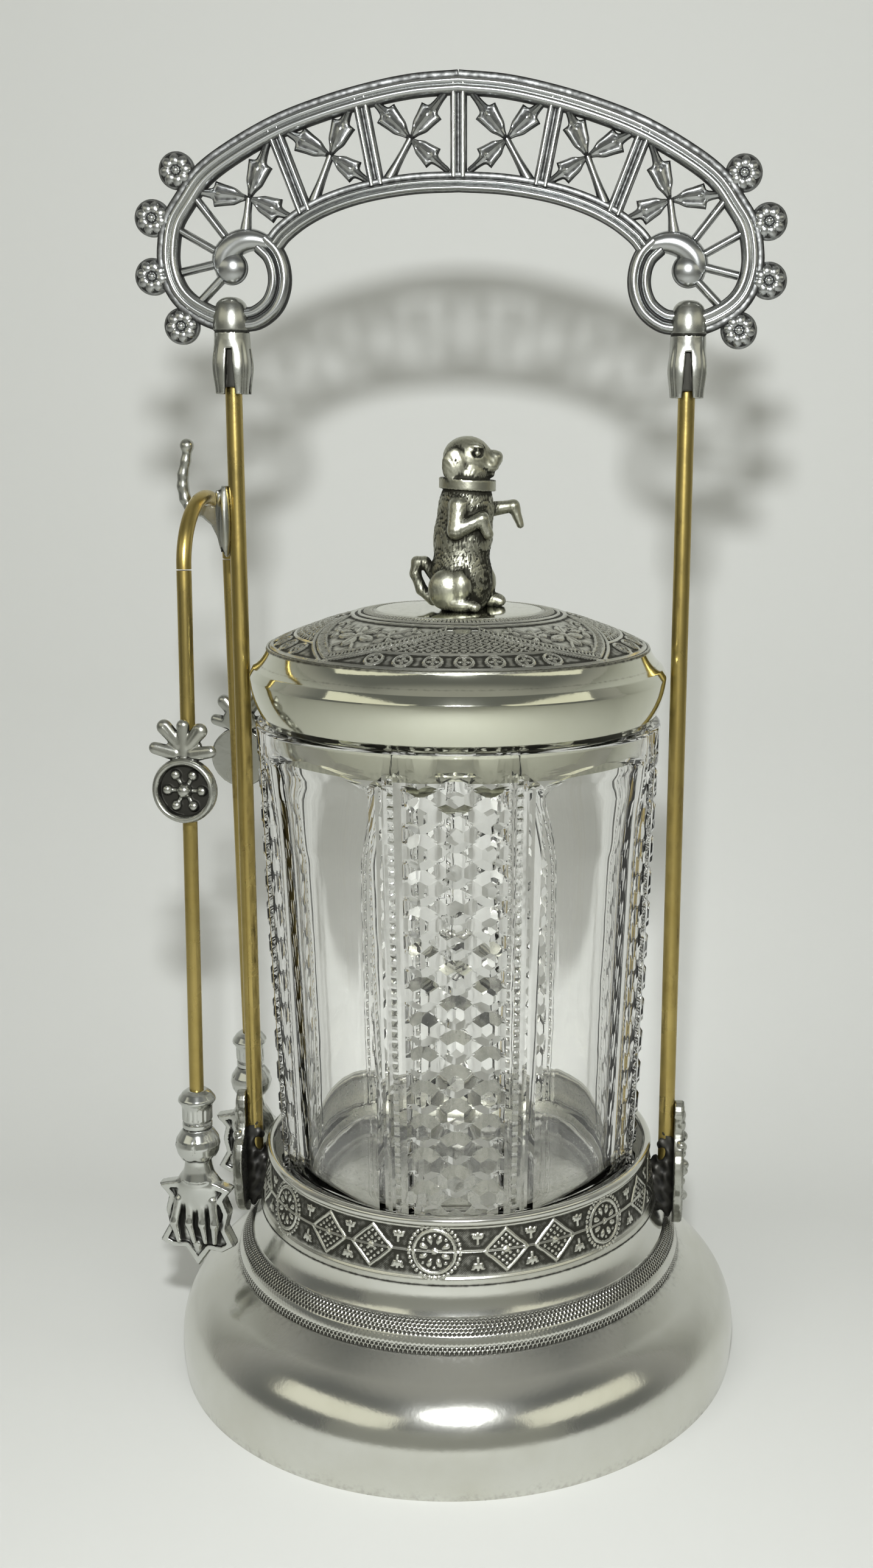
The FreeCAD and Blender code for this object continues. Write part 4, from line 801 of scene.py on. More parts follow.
screw_hole, skirt_top = 1.55, 157.6
lid_profile = drawn_profile([
    (43.2, 151.1), (43.2, skirt_top), (44.6, skirt_top), (47.0, 163.0, "arc"), (47.8, 168.0), (46.9, 169.9),
    (44.9, 172.0, "arc"), (43.7, 174.5), (43.3, 174.05), (32.8, 178.4, "arc"), (20.8, 181.85), (19.3, 181.9),
    (19.0, plateau), (screw_hole, plateau), (screw_hole, 181.4), (19.3, 181.4), (31.9, 177.9, "arc"),
    (42.6, 173.4), (43.8, 170.9, "arc"), (45.8, 168.8), (46.7, 168.0), (45.9, 163.0, "arc"), (43.5, 158.7),
    (42.1, 158.7), (42.1, 151.1), (43.2, 151.1),
], fillet=0.45)[:-1]


def lid_dirt(radius, height):
    if radius < 43.0 or height < 157.0:
        return 0.27 if height > 182 else 0.3
    creases = ((0.6, skirt_top, 0.3), (0.7, 174.2, 0.35), (0.35, 171.0, 0.3))
    return sum(amount * float(grooved(height, middle, width)) for amount, middle, width in creases)


lid = turned("polished_lid", lid_profile, polished_silver, segments=360, recess=lid_dirt)
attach(lid, "lid")
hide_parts("lid")


# The finial is a cast dog that sits up to beg, its fur chased in the casting, with a strap collar round
# its neck. It is one casting, held to the lid by a screw from inside.
dog_silver = tarnished(
    "dog_silver", (0.45, 0.45, 0.375), (0.04, 0.039, 0.03), 0.26, mottle=0.7, grain=1.4)


def egg_distance(points, centre, radii, leaning=0.0):
    """Distance to an egg that leans by an angle about Y."""
    q = points - np.array(centre)
    if leaning:
        c, s = math.cos(math.radians(leaning)), math.sin(math.radians(leaning))
        q = np.stack([q[:, 0] * c - q[:, 2] * s, q[:, 1], q[:, 0] * s + q[:, 2] * c], -1)
    radii = np.array(radii)
    scaled = np.linalg.norm(q / radii, axis=1)
    steep = np.linalg.norm(q / radii ** 2, axis=1)
    return scaled * (scaled - 1) / np.maximum(steep, 1e-9)


def limb_distance(points, start, end, start_radius, end_radius):
    """Distance to a round limb that tapers between two points."""
    start, run = np.array(start, float), np.subtract(end, start)
    t = np.clip((points - start) @ run / (run @ run), 0, 1)
    radius = start_radius + (end_radius - start_radius) * t
    return np.linalg.norm(points - start - t[:, None] * run, axis=1) - radius


def outline_distance(across, up, outline):
    """Signed distance in a plane to a closed outline, negative inside it."""
    outline = np.array(outline, dtype=float)
    best = np.full(across.shape, 1e9)
    inside = np.zeros(across.shape, dtype=bool)
    for (ax, ay), (bx, by) in zip(outline, np.roll(outline, -1, axis=0)):
        ex, ey = bx - ax, by - ay
        wx, wy = across - ax, up - ay
        t = np.clip((wx * ex + wy * ey) / (ex * ex + ey * ey + 1e-12), 0, 1)
        best = np.minimum(best, np.hypot(wx - ex * t, wy - ey * t))
        crosses = (ay > up) != (by > up)
        inside ^= crosses & (across < (bx - ax) * (up - ay) / (by - ay + 1e-12) + ax)
    return np.where(inside, -best, best)


def melted(distances, blend):
    """Distances joined with a fillet between the shapes, as a modeller's wax joins."""
    stack = np.stack(distances)
    least = stack.min(axis=0)
    return least - blend * np.log(np.exp((least - stack) / blend).sum(axis=0))


def carved(distance, tool, blend):
    return -melted([-distance, tool], blend)


def cast_piece(name, distance, low, high, step, material, hollow=0.9, gain=1.0, shade=None, place=None):
    """A cast surface where the distance is zero, with its hollows marked for tarnish; all in millimetres."""
    axes = [np.arange(a - 2 * step, b + 2 * step, step) for a, b in zip(low, high)]
    grid = np.stack(np.meshgrid(*axes, indexing="ij"), -1)
    shape = grid.shape[:3]
    value = distance(grid.reshape(-1, 3)).reshape(shape)
    sums = np.zeros((shape[0] - 1, shape[1] - 1, shape[2] - 1, 3))
    hits = np.zeros(sums.shape[:3])

    def corner(array, offset):
        return array[offset[0]: offset[0] + shape[0] - 1, offset[1]: offset[1] + shape[1] - 1,
                     offset[2]: offset[2] + shape[2] - 1]

    for axis in range(3):
        others = [a for a in range(3) if a != axis]
        for first in (0, 1):
            for second in (0, 1):
                offset = [0, 0, 0]
                offset[others[0]], offset[others[1]] = first, second
                following = list(offset)
                following[axis] = 1
                a, b = corner(value, offset), corner(value, following)
                crossing = (a < 0) != (b < 0)
                share = np.where(crossing, a / np.where(crossing, a - b, 1), 0)
                for k in range(3):
                    sums[..., k] += crossing * (offset[k] + (share if k == axis else 0))
                hits += crossing
    active = hits > 0
    index = np.full(active.shape, -1)
    index[active] = np.arange(active.sum())
    corner_place = np.array([a[0] for a in axes])
    points = (np.argwhere(active) + sums[active] / hits[active][:, None]) * step + corner_place
    faces = []
    for axis in range(3):
        inner = [slice(1, -1)] * 3
        inner[axis] = slice(0, -1)
        beyond = list(inner)
        beyond[axis] = slice(1, None)
        crossing = (value[tuple(inner)] < 0) != (value[tuple(beyond)] < 0)
        cell = np.argwhere(crossing) + [0 if a == axis else 1 for a in range(3)]
        b, c = [np.eye(3, dtype=int)[a] for a in range(3) if a != axis]
        ring = [cell - b - c, cell - c, cell, cell - b]
        faces.append(np.stack([index[tuple(r.T)] for r in ring], -1))
    faces = np.concatenate(faces)
    slight = step * 0.25
    for _ in range(3):
        slope = np.stack([
            (distance(points + nudge) - distance(points - nudge)) / (2 * slight)
            for nudge in np.eye(3) * slight], -1)
        squared = np.maximum((slope ** 2).sum(axis=1), 0.2)
        points = points - np.clip(distance(points) / squared, -step, step)[:, None] * slope
    outward = slope / np.sqrt(np.maximum((slope ** 2).sum(axis=1), 1e-9))[:, None]
    near = np.clip(1 - distance(points + outward * hollow) / hollow, 0, 1)
    wide = np.clip(1 - distance(points + outward * hollow * 2.2) / (hollow * 2.2), 0, 1)
    recess = np.clip((near * 0.9 + wide * 0.6) * gain, 0, 1)
    if shade is not None:
        recess = np.clip(recess + shade(points), 0, 1)
    if place is not None:
        points = place(points)
    mesh = bpy.data.meshes.new(name)
    mesh.from_pydata((points * MM).tolist(), [], faces.tolist())
    mark_recess(mesh, recess)
    return finished_mesh(name, mesh, material, crease=1.2)


def dog_distance(p):
    locks = np.sin(p[:, 2] * 1.1 + p[:, 0] * 9 + 3 * np.sin(p[:, 2] * 0.9))
    fur = 0.07 * locks * np.sin(p[:, 1] * 8 + p[:, 2] * 1.7)
    trunk = melted([
        egg_distance(p, (0.6, 0, 189.5), (7.2, 6.6, 9.0)),
        egg_distance(p, (0.9, 0, 198.5), (6.7, 5.6, 9.5), leaning=4),
        egg_distance(p, (1.6, 0, 205.0), (6.2, 5.4, 6.8)),
        limb_distance(p, (1.7, 0, 206.0), (2.0, 0, 213.0), 5.4, 4.9),
    ], 0.5) + fur
    head = melted([
        egg_distance(p, (1.9, 0, 216.4), (5.5, 4.7, 4.8)),
        limb_distance(p, (4.5, 0, 215.6), (7.8, 0, 216.2), 2.9, 1.9),
        egg_distance(p, (8.6, 0, 216.9), (1.1, 1.2, 0.9)),
        egg_distance(p, (5.9, 0, 213.0), (2.1, 1.9, 1.3)),
        egg_distance(p, (6.3, 1.3, 214.7), (2.6, 1.5, 1.6)),
        egg_distance(p, (6.3, -1.3, 214.7), (2.6, 1.5, 1.6)),
    ], 0.3)
    for side in (1, -1):
        head = carved(head, egg_distance(p, (4.7, side * 4.1, 217.5), (1.3, 1.05, 0.9)), 0.15)
        head = melted([head, egg_distance(p, (4.4, side * 3.6, 217.5), (0.8, 0.9, 0.75))], 0.1)
        head = melted([head, egg_distance(p, (4.2, side * 3.5, 219.0), (1.6, 0.9, 0.6), leaning=6)], 0.25)
        ear = egg_distance(p, (-0.8, side * 4.6, 215.0), (2.6, 0.9, 3.7), leaning=6)
        ear_line = limb_distance(p, (1.9, side * 5.7, 218.0), (1.6, side * 5.9, 211.5), 0.4, 0.4)
        ear = carved(ear, ear_line, 0.15)
        head = melted([head, ear], 0.2)
    curls = np.sin(p[:, 2] * 3.1 + p[:, 0] * 5 + 2 * np.sin(p[:, 0] * 1.3))
    head = head + 0.06 * curls * np.sin(p[:, 1] * 4 - p[:, 2])
    for side in (-1, 1):
        head = carved(head, limb_distance(p, (5.0, side * 3.5, 213.9), (8.6, 0, 214.3), 0.28, 0.25), 0.12)
    strap = np.hypot(p[:, 0] - 1.9, p[:, 1] * 1.08) - 5.75
    level = p[:, 2] - (210.7 - 0.05 * p[:, 0])
    strap = np.maximum(np.abs(strap) - 0.5, np.abs(level) - 1.05) - 0.15
    limbs = [
        limb_distance(p, (0.4, -4.6, 206.0), (-0.2, -6.0, 200.6), 2.3, 1.9),
        limb_distance(p, (-0.2, -6.0, 200.6), (5.6, -5.6, 203.2), 1.9, 1.5),
        limb_distance(p, (5.6, -5.6, 203.2), (7.0, -5.6, 199.9), 1.6, 1.2),
        limb_distance(p, (1.6, 4.6, 206.0), (5.4, 5.6, 204.6), 2.3, 1.8),
        limb_distance(p, (5.4, 5.6, 204.6), (12.0, 5.2, 205.6), 1.8, 1.35),
        limb_distance(p, (12.0, 5.2, 205.6), (13.6, 5.0, 201.4), 1.35, 0.85),
    ]
    for side, forward in ((-1, 0.0), (1, 4.6)):
        limbs += [
            egg_distance(p, (-2.4 + forward * 0.8, side * 5.8, 187.4), (4.1, 2.5, 4.6)),
            egg_distance(p, (0.9 + forward, side * 6.3, 188.0), (2.5, 2.1, 3.9)),
            egg_distance(p, (1.0 + forward * 1.2, side * 6.4, 184.1), (3.6, 1.9, 1.7)),
        ]
        for toe in (-1.0, 0.0, 1.0):
            toe_place = (4.2 + forward * 1.05, side * 6.4 + toe * 1.15, 183.6)
            limbs.append(egg_distance(p, toe_place, (1.1, 0.65, 1.0)))
    tail_line = (
        (-6.0, 0, 184.4), (-8.6, 0, 186.8), (-10.0, 0, 190.4), (-9.6, 0, 193.0), (-7.8, 0, 193.0),
        (-6.2, 0, 190.5))
    for start, end in zip(tail_line, tail_line[1:]):
        limbs.append(limb_distance(p * (1, 0.8, 1), start, end, 1.25, 1.2))
    collar_foot = 209.6
    whole = melted([trunk] + limbs, 0.22) + 0.7 * fur * (p[:, 2] < collar_foot)
    whole = melted([whole, head, strap], 0.1)
    between = melted([
        limb_distance(p, (8.2, 0, 184), (7.8, 0, 196), 1.0, 1.3),
        limb_distance(p, (2.6, -6.6, 183.6), (2.0, -6.4, 193), 0.3, 0.4),
    ], 0.1)
    whole = carved(whole, between, 0.3)
    return np.maximum(whole, plateau - p[:, 2])


def dog_shade(p):
    fur = 0.5 + 0.5 * np.sin(p[:, 2] * 2.3 + p[:, 0] * 11 + 3 * np.sin(p[:, 2] * 0.9 + p[:, 1]))
    # Painted contact shade darkens the dog within 1.2 mm of the plateau it stands on, and painted shade
    # darkens the lower front of its body under the raised paws; the fur stripes are tarnish in the chasing.
    low = np.clip(1 - (p[:, 2] - plateau) / 1.2, 0, 1) * 0.5
    belly = np.clip((p[:, 0] - 2.5) / 4, 0, 1) * (np.abs(p[:, 1]) < 4.4) * (p[:, 2] < 196) * 0.35
    body = np.where(p[:, 2] < 213, 0.28, 0.2) * fur
    return low + belly + body


dog = cast_piece("begging_dog", dog_distance, (-12.0, -9.5, plateau), (15.5, 9.5, 221.2), 0.34, dog_silver,
                 gain=1.15, shade=dog_shade)
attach(dog, "lid")
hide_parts("dog_finial")


# A plain steel screw, with a washer under its head, holds the dog from inside the lid.
# Neither is seen from outside.
plain_steel = tarnished("plain_steel", (0.42, 0.41, 0.38), (0.06, 0.05, 0.04), 0.38, grain=1.0)
for node in ("finial_screw", "finial_washer"):
    fastener = bpy.data.objects[node]
    fastener.data.materials.clear()
    fastener.data.materials.append(plain_steel)


# Each rod is drawn brass wire that was plated; the plate has worn away, and the brass is dark in patches.
# Its foot is soldered to the bracket and the gallery, and a ferrule and a knop close its top.
worn_brass = tarnished(
    "worn_brass", (0.47, 0.365, 0.13), (0.09, 0.062, 0.02), 0.24, mottle=0.95, grain=0.6,
    wear={"scale": 160.0, "stretch": 0.25, "from": 0.56, "to": 0.72, "colour": (0.24, 0.175, 0.065)})
sides = (("left", -1), ("right", 1))
rod_across, rod_radius, rod_bottom, rod_top, rod_ease = 50.5, 1.9, 40.2, 246.7, 0.3
outline = [(0.0, rod_bottom), (rod_radius - rod_ease, rod_bottom)]
outline += [(rod_radius, z) for z in np.linspace(rod_bottom + rod_ease, rod_top - rod_ease, 60)]
outline += [(rod_radius - rod_ease, rod_top), (0.0, rod_top)]
for side, sign in sides:
    rod = turned(
        side + "_brass_rod", outline, worn_brass, segments=40, centre=(sign * rod_across, 0), closed=False)
    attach(rod, "stand")
    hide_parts(side + "_rod")


# A ferrule of four cast leaves grips the top of each rod, open between the leaves at its mouth.
# It is plated, worn bright on the leaves and black inside.
cast_silver = tarnished(
    "cast_silver", (0.46, 0.465, 0.43), (0.045, 0.044, 0.038), 0.24, mottle=0.5, grain=0.9)
ferrule_low, ferrule_top, slit_top, slit_depth, mouth_top = 229.8, 243.1, 239.6, 2.9, 232.6


def ferrule_distance(p):
    height = p[:, 2]
    around = np.arctan2(p[:, 1], p[:, 0])
    reach = np.hypot(p[:, 0], p[:, 1])
    outer = 3.92 + 0.72 * np.exp(-((height - 235.8) / 3.9) ** 2)
    leaf = (around / (math.pi / 2) + 1.0) % 1.0 - 0.5
    sculpted = np.clip((241.5 - height) / 3, 0, 1)
    outer = outer + (0.3 * np.cos(leaf * 2 * math.pi) - 0.3 * np.exp(-(leaf / 0.07) ** 2)) * sculpted
    wall = np.maximum(reach - outer, np.maximum(height - ferrule_top, ferrule_low - height))
    open_share = np.clip((slit_top - height) / (slit_top - ferrule_low), 0, 1)
    slit = np.abs(leaf - np.where(leaf > 0, 0.5, -0.5)) * (math.pi / 2) * reach - (0.55 + 0.65 * open_share)
    slit = np.maximum(slit, np.maximum(height - slit_top, slit_depth - reach))
    wall = carved(wall, slit, 0.12)
    mouth = reach - (2.0 + 1.6 * np.clip((mouth_top - height) / (mouth_top - ferrule_low), 0, 1))
    return carved(wall, np.maximum(mouth, height - mouth_top), 0.12)


for side, sign in sides:
    ferrule = cast_piece(
        side + "_leaf_ferrule", ferrule_distance, (-5.1, -5.1, ferrule_low), (5.1, 5.1, ferrule_top), 0.22,
        cast_silver,
        shade=lambda p: np.clip((3.9 - np.hypot(p[:, 0], p[:, 1])) / 0.8, 0, 1) * (p[:, 2] < 240.2) * 0.9,
        place=lambda p, sign=sign: p + np.array([sign * rod_across, 0, 0]))
    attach(ferrule, "stand")
    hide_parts(side + "_ferrule")


# A polished bullet knop closes each ferrule where the handle meets it.
# It is cast and plated, with a dark line of solder at its foot.
knop_side = drawn_profile([
    (0.0, ferrule_top), (3.7, ferrule_top), (4.03, 243.5), (4.1, 246.2, "arc"), (3.25, 249.3),
    (1.75, 250.5, "arc"), (0.0, 250.7),
])
for side, sign in sides:
    knop = turned(
        side + "_bullet_knop", knop_side, cast_silver, segments=72, centre=(sign * rod_across, 0),
        closed=False, recess=lambda r, z: 0.75 if z < 243.6 else 0.0)
    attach(knop, "stand")
    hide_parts(side + "_knop")


# A cast bracket plate stands outside the foot of each rod, with leaf bosses on its outer face.
# Black soft solder, run in by hand, joins plate, rod and gallery.
plate_half_width, plate_foot, plate_height, plate_face = 7.8, 31.8, 32.0, 54.1
plate_outline = []
plate_points = (
    (0.0, 0.0), (0.62, 0.1), (0.92, 0.32), (1.0, 0.48), (0.8, 0.63), (0.42, 0.7), (0.3, 0.85), (0.22, 0.97),
    (0.0, 1.0))
for mirror, order in ((1, plate_points), (-1, plate_points[::-1])):
    corners = [(mirror * a * plate_half_width, plate_foot + b * plate_height) for a, b in order]
    for k in range(0, len(corners) - 1, 2):
        plate_outline += arc_through(corners[k], corners[k + 1], corners[k + 2], 6)[:-1]


def bracket_distance(p):
    x, y, z = p[:, 0], p[:, 1], p[:, 2]
    flat = outline_distance(y, z, plate_outline)
    plate = np.maximum(flat + 0.3, np.abs(x - 53.3) - 0.6) - 0.3
    border = np.maximum(np.abs(flat + 0.9) - 0.5, np.abs(x - plate_face) - 0.35) - 0.2
    parts = [plate, border, limb_distance(p, (54.0, 0, 33.5), (54.3, 0, 62.0), 0.7, 0.5)]
    for y_root, z_root, y_tip, z_tip, out in (
            (0.6, 36.0, 4.6, 41.5, 1.5), (0.8, 42.0, 6.0, 48.3, 1.6), (0.6, 48.0, 3.6, 53.6, 1.3),
            (0.4, 54.0, 1.6, 58.6, 0.9)):
        for mirror in (1, -1):
            root, tip = (54.0, mirror * y_root, z_root), (plate_face, mirror * y_tip, z_tip)
            parts.append(limb_distance(p, root, tip, 0.55, 1.0))
            parts.append(egg_distance(p, (54.2, mirror * y_tip * 0.8, z_tip - 0.6), (out, 1.15, 1.3)))
    for height, out in ((39.0, 2.0), (47.0, 2.2), (54.5, 1.7), (60.0, 1.1)):
        parts.append(egg_distance(p, (plate_face, 0, height), (out, 1.3, 1.5)))
    return melted(parts, 0.12)


def solder_distance(p):
    lumps = 0.28 * np.sin(p[:, 0] * 1.9 + p[:, 2] * 0.7) * np.sin(p[:, 2] * 0.9 + p[:, 1] * 1.3)
    lumps += 0.06 * np.sin(p[:, 2] * 2.3 + 1.0) * np.sin(p[:, 1] * 2.1 + p[:, 0])
    body = melted([
        egg_distance(p, (50.6, 0, 47.0), (2.5, 2.75, 11.5)),
        egg_distance(p, (48.0, 0, 41.5), (3.1, 2.9, 7.2)),
        egg_distance(p, (51.4, 0, 39.5), (1.6, 2.6, 6.0)),
    ], 0.5) + lumps
    body = np.maximum(body, p[:, 0] - 52.5)
    gap = egg_distance(p, (49.4, 0, 50.5), (0.9, 5.0, 1.9), leaning=14)
    return carved(body, gap, 0.2)


black_solder = tarnished(
    "black_solder", (0.07, 0.068, 0.065), (0.035, 0.035, 0.033), 0.4, mottle=0.6, grain=0.6)
for side, sign in sides:
    def mirrored(points, sign=sign):
        return points * np.array([sign, 1, 1])

    bracket = cast_piece(
        side + "_cast_bracket", bracket_distance, (52.4, -8.0, 31.6), (56.6, 8.0, 64.0), 0.3, cast_silver,
        hollow=0.7, place=mirrored)
    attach(bracket, "stand")
    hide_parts(side + "_bracket")
    solder = cast_piece(
        side + "_run_solder", solder_distance, (44.5, -3.4, 34.0), (53.2, 3.4, 59.5), 0.3, black_solder,
        place=mirrored)
    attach(solder, "stand")
    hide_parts(side + "_solder")


# The handle is one openwork casting: a reeded outer rail, a lower rail, posts, spokes and scrolls,
# with leaf sprigs between the posts and rosettes round its shoulders. Both faces are alike.
handle_silver = tarnished(
    "handle_silver", (0.45, 0.46, 0.46), (0.05, 0.05, 0.048), 0.23, mottle=0.35, grain=0.4)


def smooth_path(points, step=0.8):
    """An even walk along the smooth curve through some points, with any further columns carried along."""
    points = np.array(points, dtype=float)
    ends = np.concatenate([[2 * points[0] - points[1]], points, [2 * points[-1] - points[-2]]])
    samples = []
    for a, b, c, d in zip(ends, ends[1:], ends[2:], ends[3:]):
        for t in np.linspace(0, 1, 24, endpoint=False):
            cubic = (2 * a - 5 * b + 4 * c - d) * t * t + (3 * b - a - 3 * c + d) * t ** 3
            samples.append(0.5 * (2 * b + (c - a) * t + cubic))
    samples = np.array(samples + [points[-1]])
    lengths = np.concatenate([[0], np.cumsum(np.hypot(*np.diff(samples[:, :2], axis=0).T))])
    along = np.linspace(0, lengths[-1], max(3, int(lengths[-1] / step) + 1))
    return np.stack([np.interp(along, lengths, samples[:, k]) for k in range(samples.shape[1])], -1)


def reeded_section(ridges, floor=0.32, count=30):
    """Shares (across, out) of a moulding's front: ridges are (middle, half width, height)."""
    across = np.linspace(-1, 1, count)
    out = np.full(count, floor)
    for middle, half_width, height in ridges:
        hump = height * np.sqrt(np.clip(1 - ((across - middle) / half_width) ** 2, 0, 1))
        out = np.maximum(out, hump)
    out[0] = out[-1] = floor * 0.7
    return across, out


def moulding(path, section, half_width, half_depth):
    """Net and recess of a two-faced moulding along a path of (x, z) or (x, z, width share)."""
    across, out = section
    path = np.array(path)
    tangent = np.gradient(path[:, :2], axis=0)
    tangent /= np.linalg.norm(tangent, axis=1)[:, None]
    normal = np.stack([-tangent[:, 1], tangent[:, 0]], -1)
    widths = path[:, 2] if path.shape[1] > 2 else np.ones(len(path))
    side_across = np.concatenate([across, across[::-1]])
    side_out = np.concatenate([-out, out[::-1]])
    shade = np.clip((0.86 - out) / 0.4, 0, 1)
    shade = np.concatenate([shade, shade[::-1]])
    rows = []
    for place, aside, width in zip(path, normal, widths):
        reach = side_across * half_width * width
        depth = side_out * half_depth * min(1, 0.4 + 0.6 * width)
        rows.append(np.stack([place[0] + aside[0] * reach, depth, place[1] + aside[1] * reach], -1))
    first, last = [np.tile((path[end, 0], 0, path[end, 1]), (len(side_across), 1)) for end in (0, -1)]
    return np.array([first] + rows + [last]), np.tile(shade, (len(rows) + 2, 1))


def two_sided(points):
    """A net, and the same mirrored left to right."""
    return [points, points * np.array([-1, 1, 1])]


def straight(start, end):
    return smooth_path([start, tuple((a + b) / 2 for a, b in zip(start, end)), end])


outer_line = [
    (0.0, 295.3), (-9.8, 294.5), (-19.5, 292.6), (-29.2, 289.9), (-39.0, 286.3), (-48.7, 281.2),
    (-55.8, 276.2), (-60.0, 270.8), (-62.9, 266.1), (-64.0, 260.5), (-63.8, 256.2), (-62.4, 252.2),
    (-59.8, 249.2), (-56.0, 246.9), (-52.0, 245.4),
]
lower_line = [
    (0.0, 275.1), (-10, 274.6), (-20, 273.0), (-28, 270.6), (-34, 267.7), (-38.5, 264.4), (-40.6, 262.0),
]
ring_line = [
    (-49.0, 245.9), (-45.0, 246.3), (-41.4, 248.9), (-39.7, 252.6), (-39.6, 256.4), (-40.8, 259.8),
    (-43.2, 262.2),
]
comma_line = [
    (-40.4, 261.2, 0.35), (-42.6, 262.3, 0.7), (-45.8, 262.8, 0.95), (-48.9, 262.0, 1.05),
    (-51.4, 259.9, 1.0), (-52.2, 257.4, 0.85), (-51.4, 255.6, 0.5),
]
rail_section = reeded_section([(0.5, 0.52, 1.0), (-0.12, 0.42, 0.9), (-0.62, 0.55, 0.62)], floor=0.3)
lower_section = reeded_section([(0.62, 0.4, 1.0), (0.0, 0.36, 0.92), (-0.62, 0.55, 0.66)], floor=0.3)
post_section = reeded_section([(-0.58, 0.44, 1.0), (0.58, 0.44, 1.0), (0.0, 0.3, 0.62)], floor=0.3, count=22)
ring_section = reeded_section([(-0.45, 0.55, 1.0), (0.5, 0.46, 0.92)], floor=0.3)
smooth_section = reeded_section([(0.0, 1.02, 1.0)], floor=0.05)
casting = []
for line, section, half_width, half_depth in (
        (outer_line, rail_section, 2.5, 2.35), (lower_line, lower_section, 2.15, 2.3),
        (ring_line, ring_section, 2.6, 2.3), (comma_line, smooth_section, 2.6, 2.5)):
    net, shade = moulding(smooth_path(line), section, half_width, half_depth)
    shade = shade * (0.15 if section is smooth_section else 0.95)
    casting += [(side, shade) for side in two_sided(net)]
for (x0, z0), (x1, z1) in (((-17.8, 274.2), (-21.4, 292.6)), ((-33.6, 268.6), (-40.2, 285.6))):
    net, shade = moulding(straight((x0, z0), (x1, z1)), post_section, 1.75, 1.9)
    casting += [(side, shade * 0.95) for side in two_sided(net)]
net, shade = moulding(smooth_path([(0, 276.0), (0, 285.0), (0, 295.0)]), post_section, 1.8, 1.9)
casting.append((net, shade * 0.95))
for x0, z0, x1, z1, width in (
        (-58.4, 272.4, -51.3, 263.4, 0.95), (-61.6, 264.8, -53.6, 260.4, 0.9),
        (-61.0, 255.9, -53.4, 257.7, 0.95), (-57.0, 249.8, -52.2, 254.6, 1.0)):
    net, shade = moulding(straight((x0, z0), (x1, z1)), smooth_section, width, 1.5)
    casting += [(side, shade * 0.5) for side in two_sided(net)]
bob_place, bob_radius, bob_depth = (-50.2, 256.9), 3.7, 2.75
bob_angle = full_turn(48)
bob_tilt = np.linspace(-math.pi / 2, math.pi / 2, 22)[:, None]
bob = np.stack([
    bob_place[0] + bob_radius * np.cos(bob_tilt) * np.cos(bob_angle),
    bob_depth * np.sin(bob_tilt) + 0 * bob_angle,
    bob_place[1] + bob_radius * np.cos(bob_tilt) * np.sin(bob_angle)], -1)
bob_shade = np.clip(1 - np.abs(bob_tilt) / 0.45, 0, 1) * 0.9
casting += [(side, bob_shade) for side in two_sided(bob)]
sprigs = (
    ((-10.4, 283.8), (-15.2, 275.4), ((-2.7, 293.4), (-19.3, 292.4), (-2.2, 277.2))),
    ((-27.8, 280.3), (-31.8, 270.4), ((-22.9, 291.2), (-38.9, 286.0), (-18.9, 274.6))),
    ((-45.8, 271.5), (-46.8, 264.6), ((-41.3, 283.4), (-58.3, 272.9), (-35.4, 267.0))),
)
for stem_start, stem_end, _ in sprigs:
    middle = ((stem_start[0] + stem_end[0]) / 2, (stem_start[1] + stem_end[1]) / 2)
    stem_path = smooth_path([(*stem_start, 0.7), (*middle, 0.8), (*stem_end, 1.2)])
    net, shade = moulding(stem_path, smooth_section, 1.1, 1.4)
    casting += [(side, shade * 0.6) for side in two_sided(net)]


def joined_nets(name, nets, material, crease=0.9):
    """One object from several closed nets, each with its recess."""
    vertices, faces, shades, start = [], [], [], 0
    for net, shade in nets:
        rows, columns, _ = net.shape
        index = np.arange(rows * columns).reshape(rows, columns) + start
        index = np.concatenate([index, index[:, :1]], axis=1)
        faces.append(cells(index))
        vertices.append(net.reshape(-1, 3))
        shades.append(np.broadcast_to(shade, (rows, columns)).ravel())
        start += rows * columns
    mesh = bpy.data.meshes.new(name)
    mesh.from_pydata((np.concatenate(vertices) * MM).tolist(), [], np.concatenate(faces).tolist())
    mark_recess(mesh, np.concatenate(shades))
    return finished_mesh(name, mesh, material, crease)


frame_casting = joined_nets("handle_frame", casting, handle_silver)
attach(frame_casting, "stand")


leaf_length = 10.0


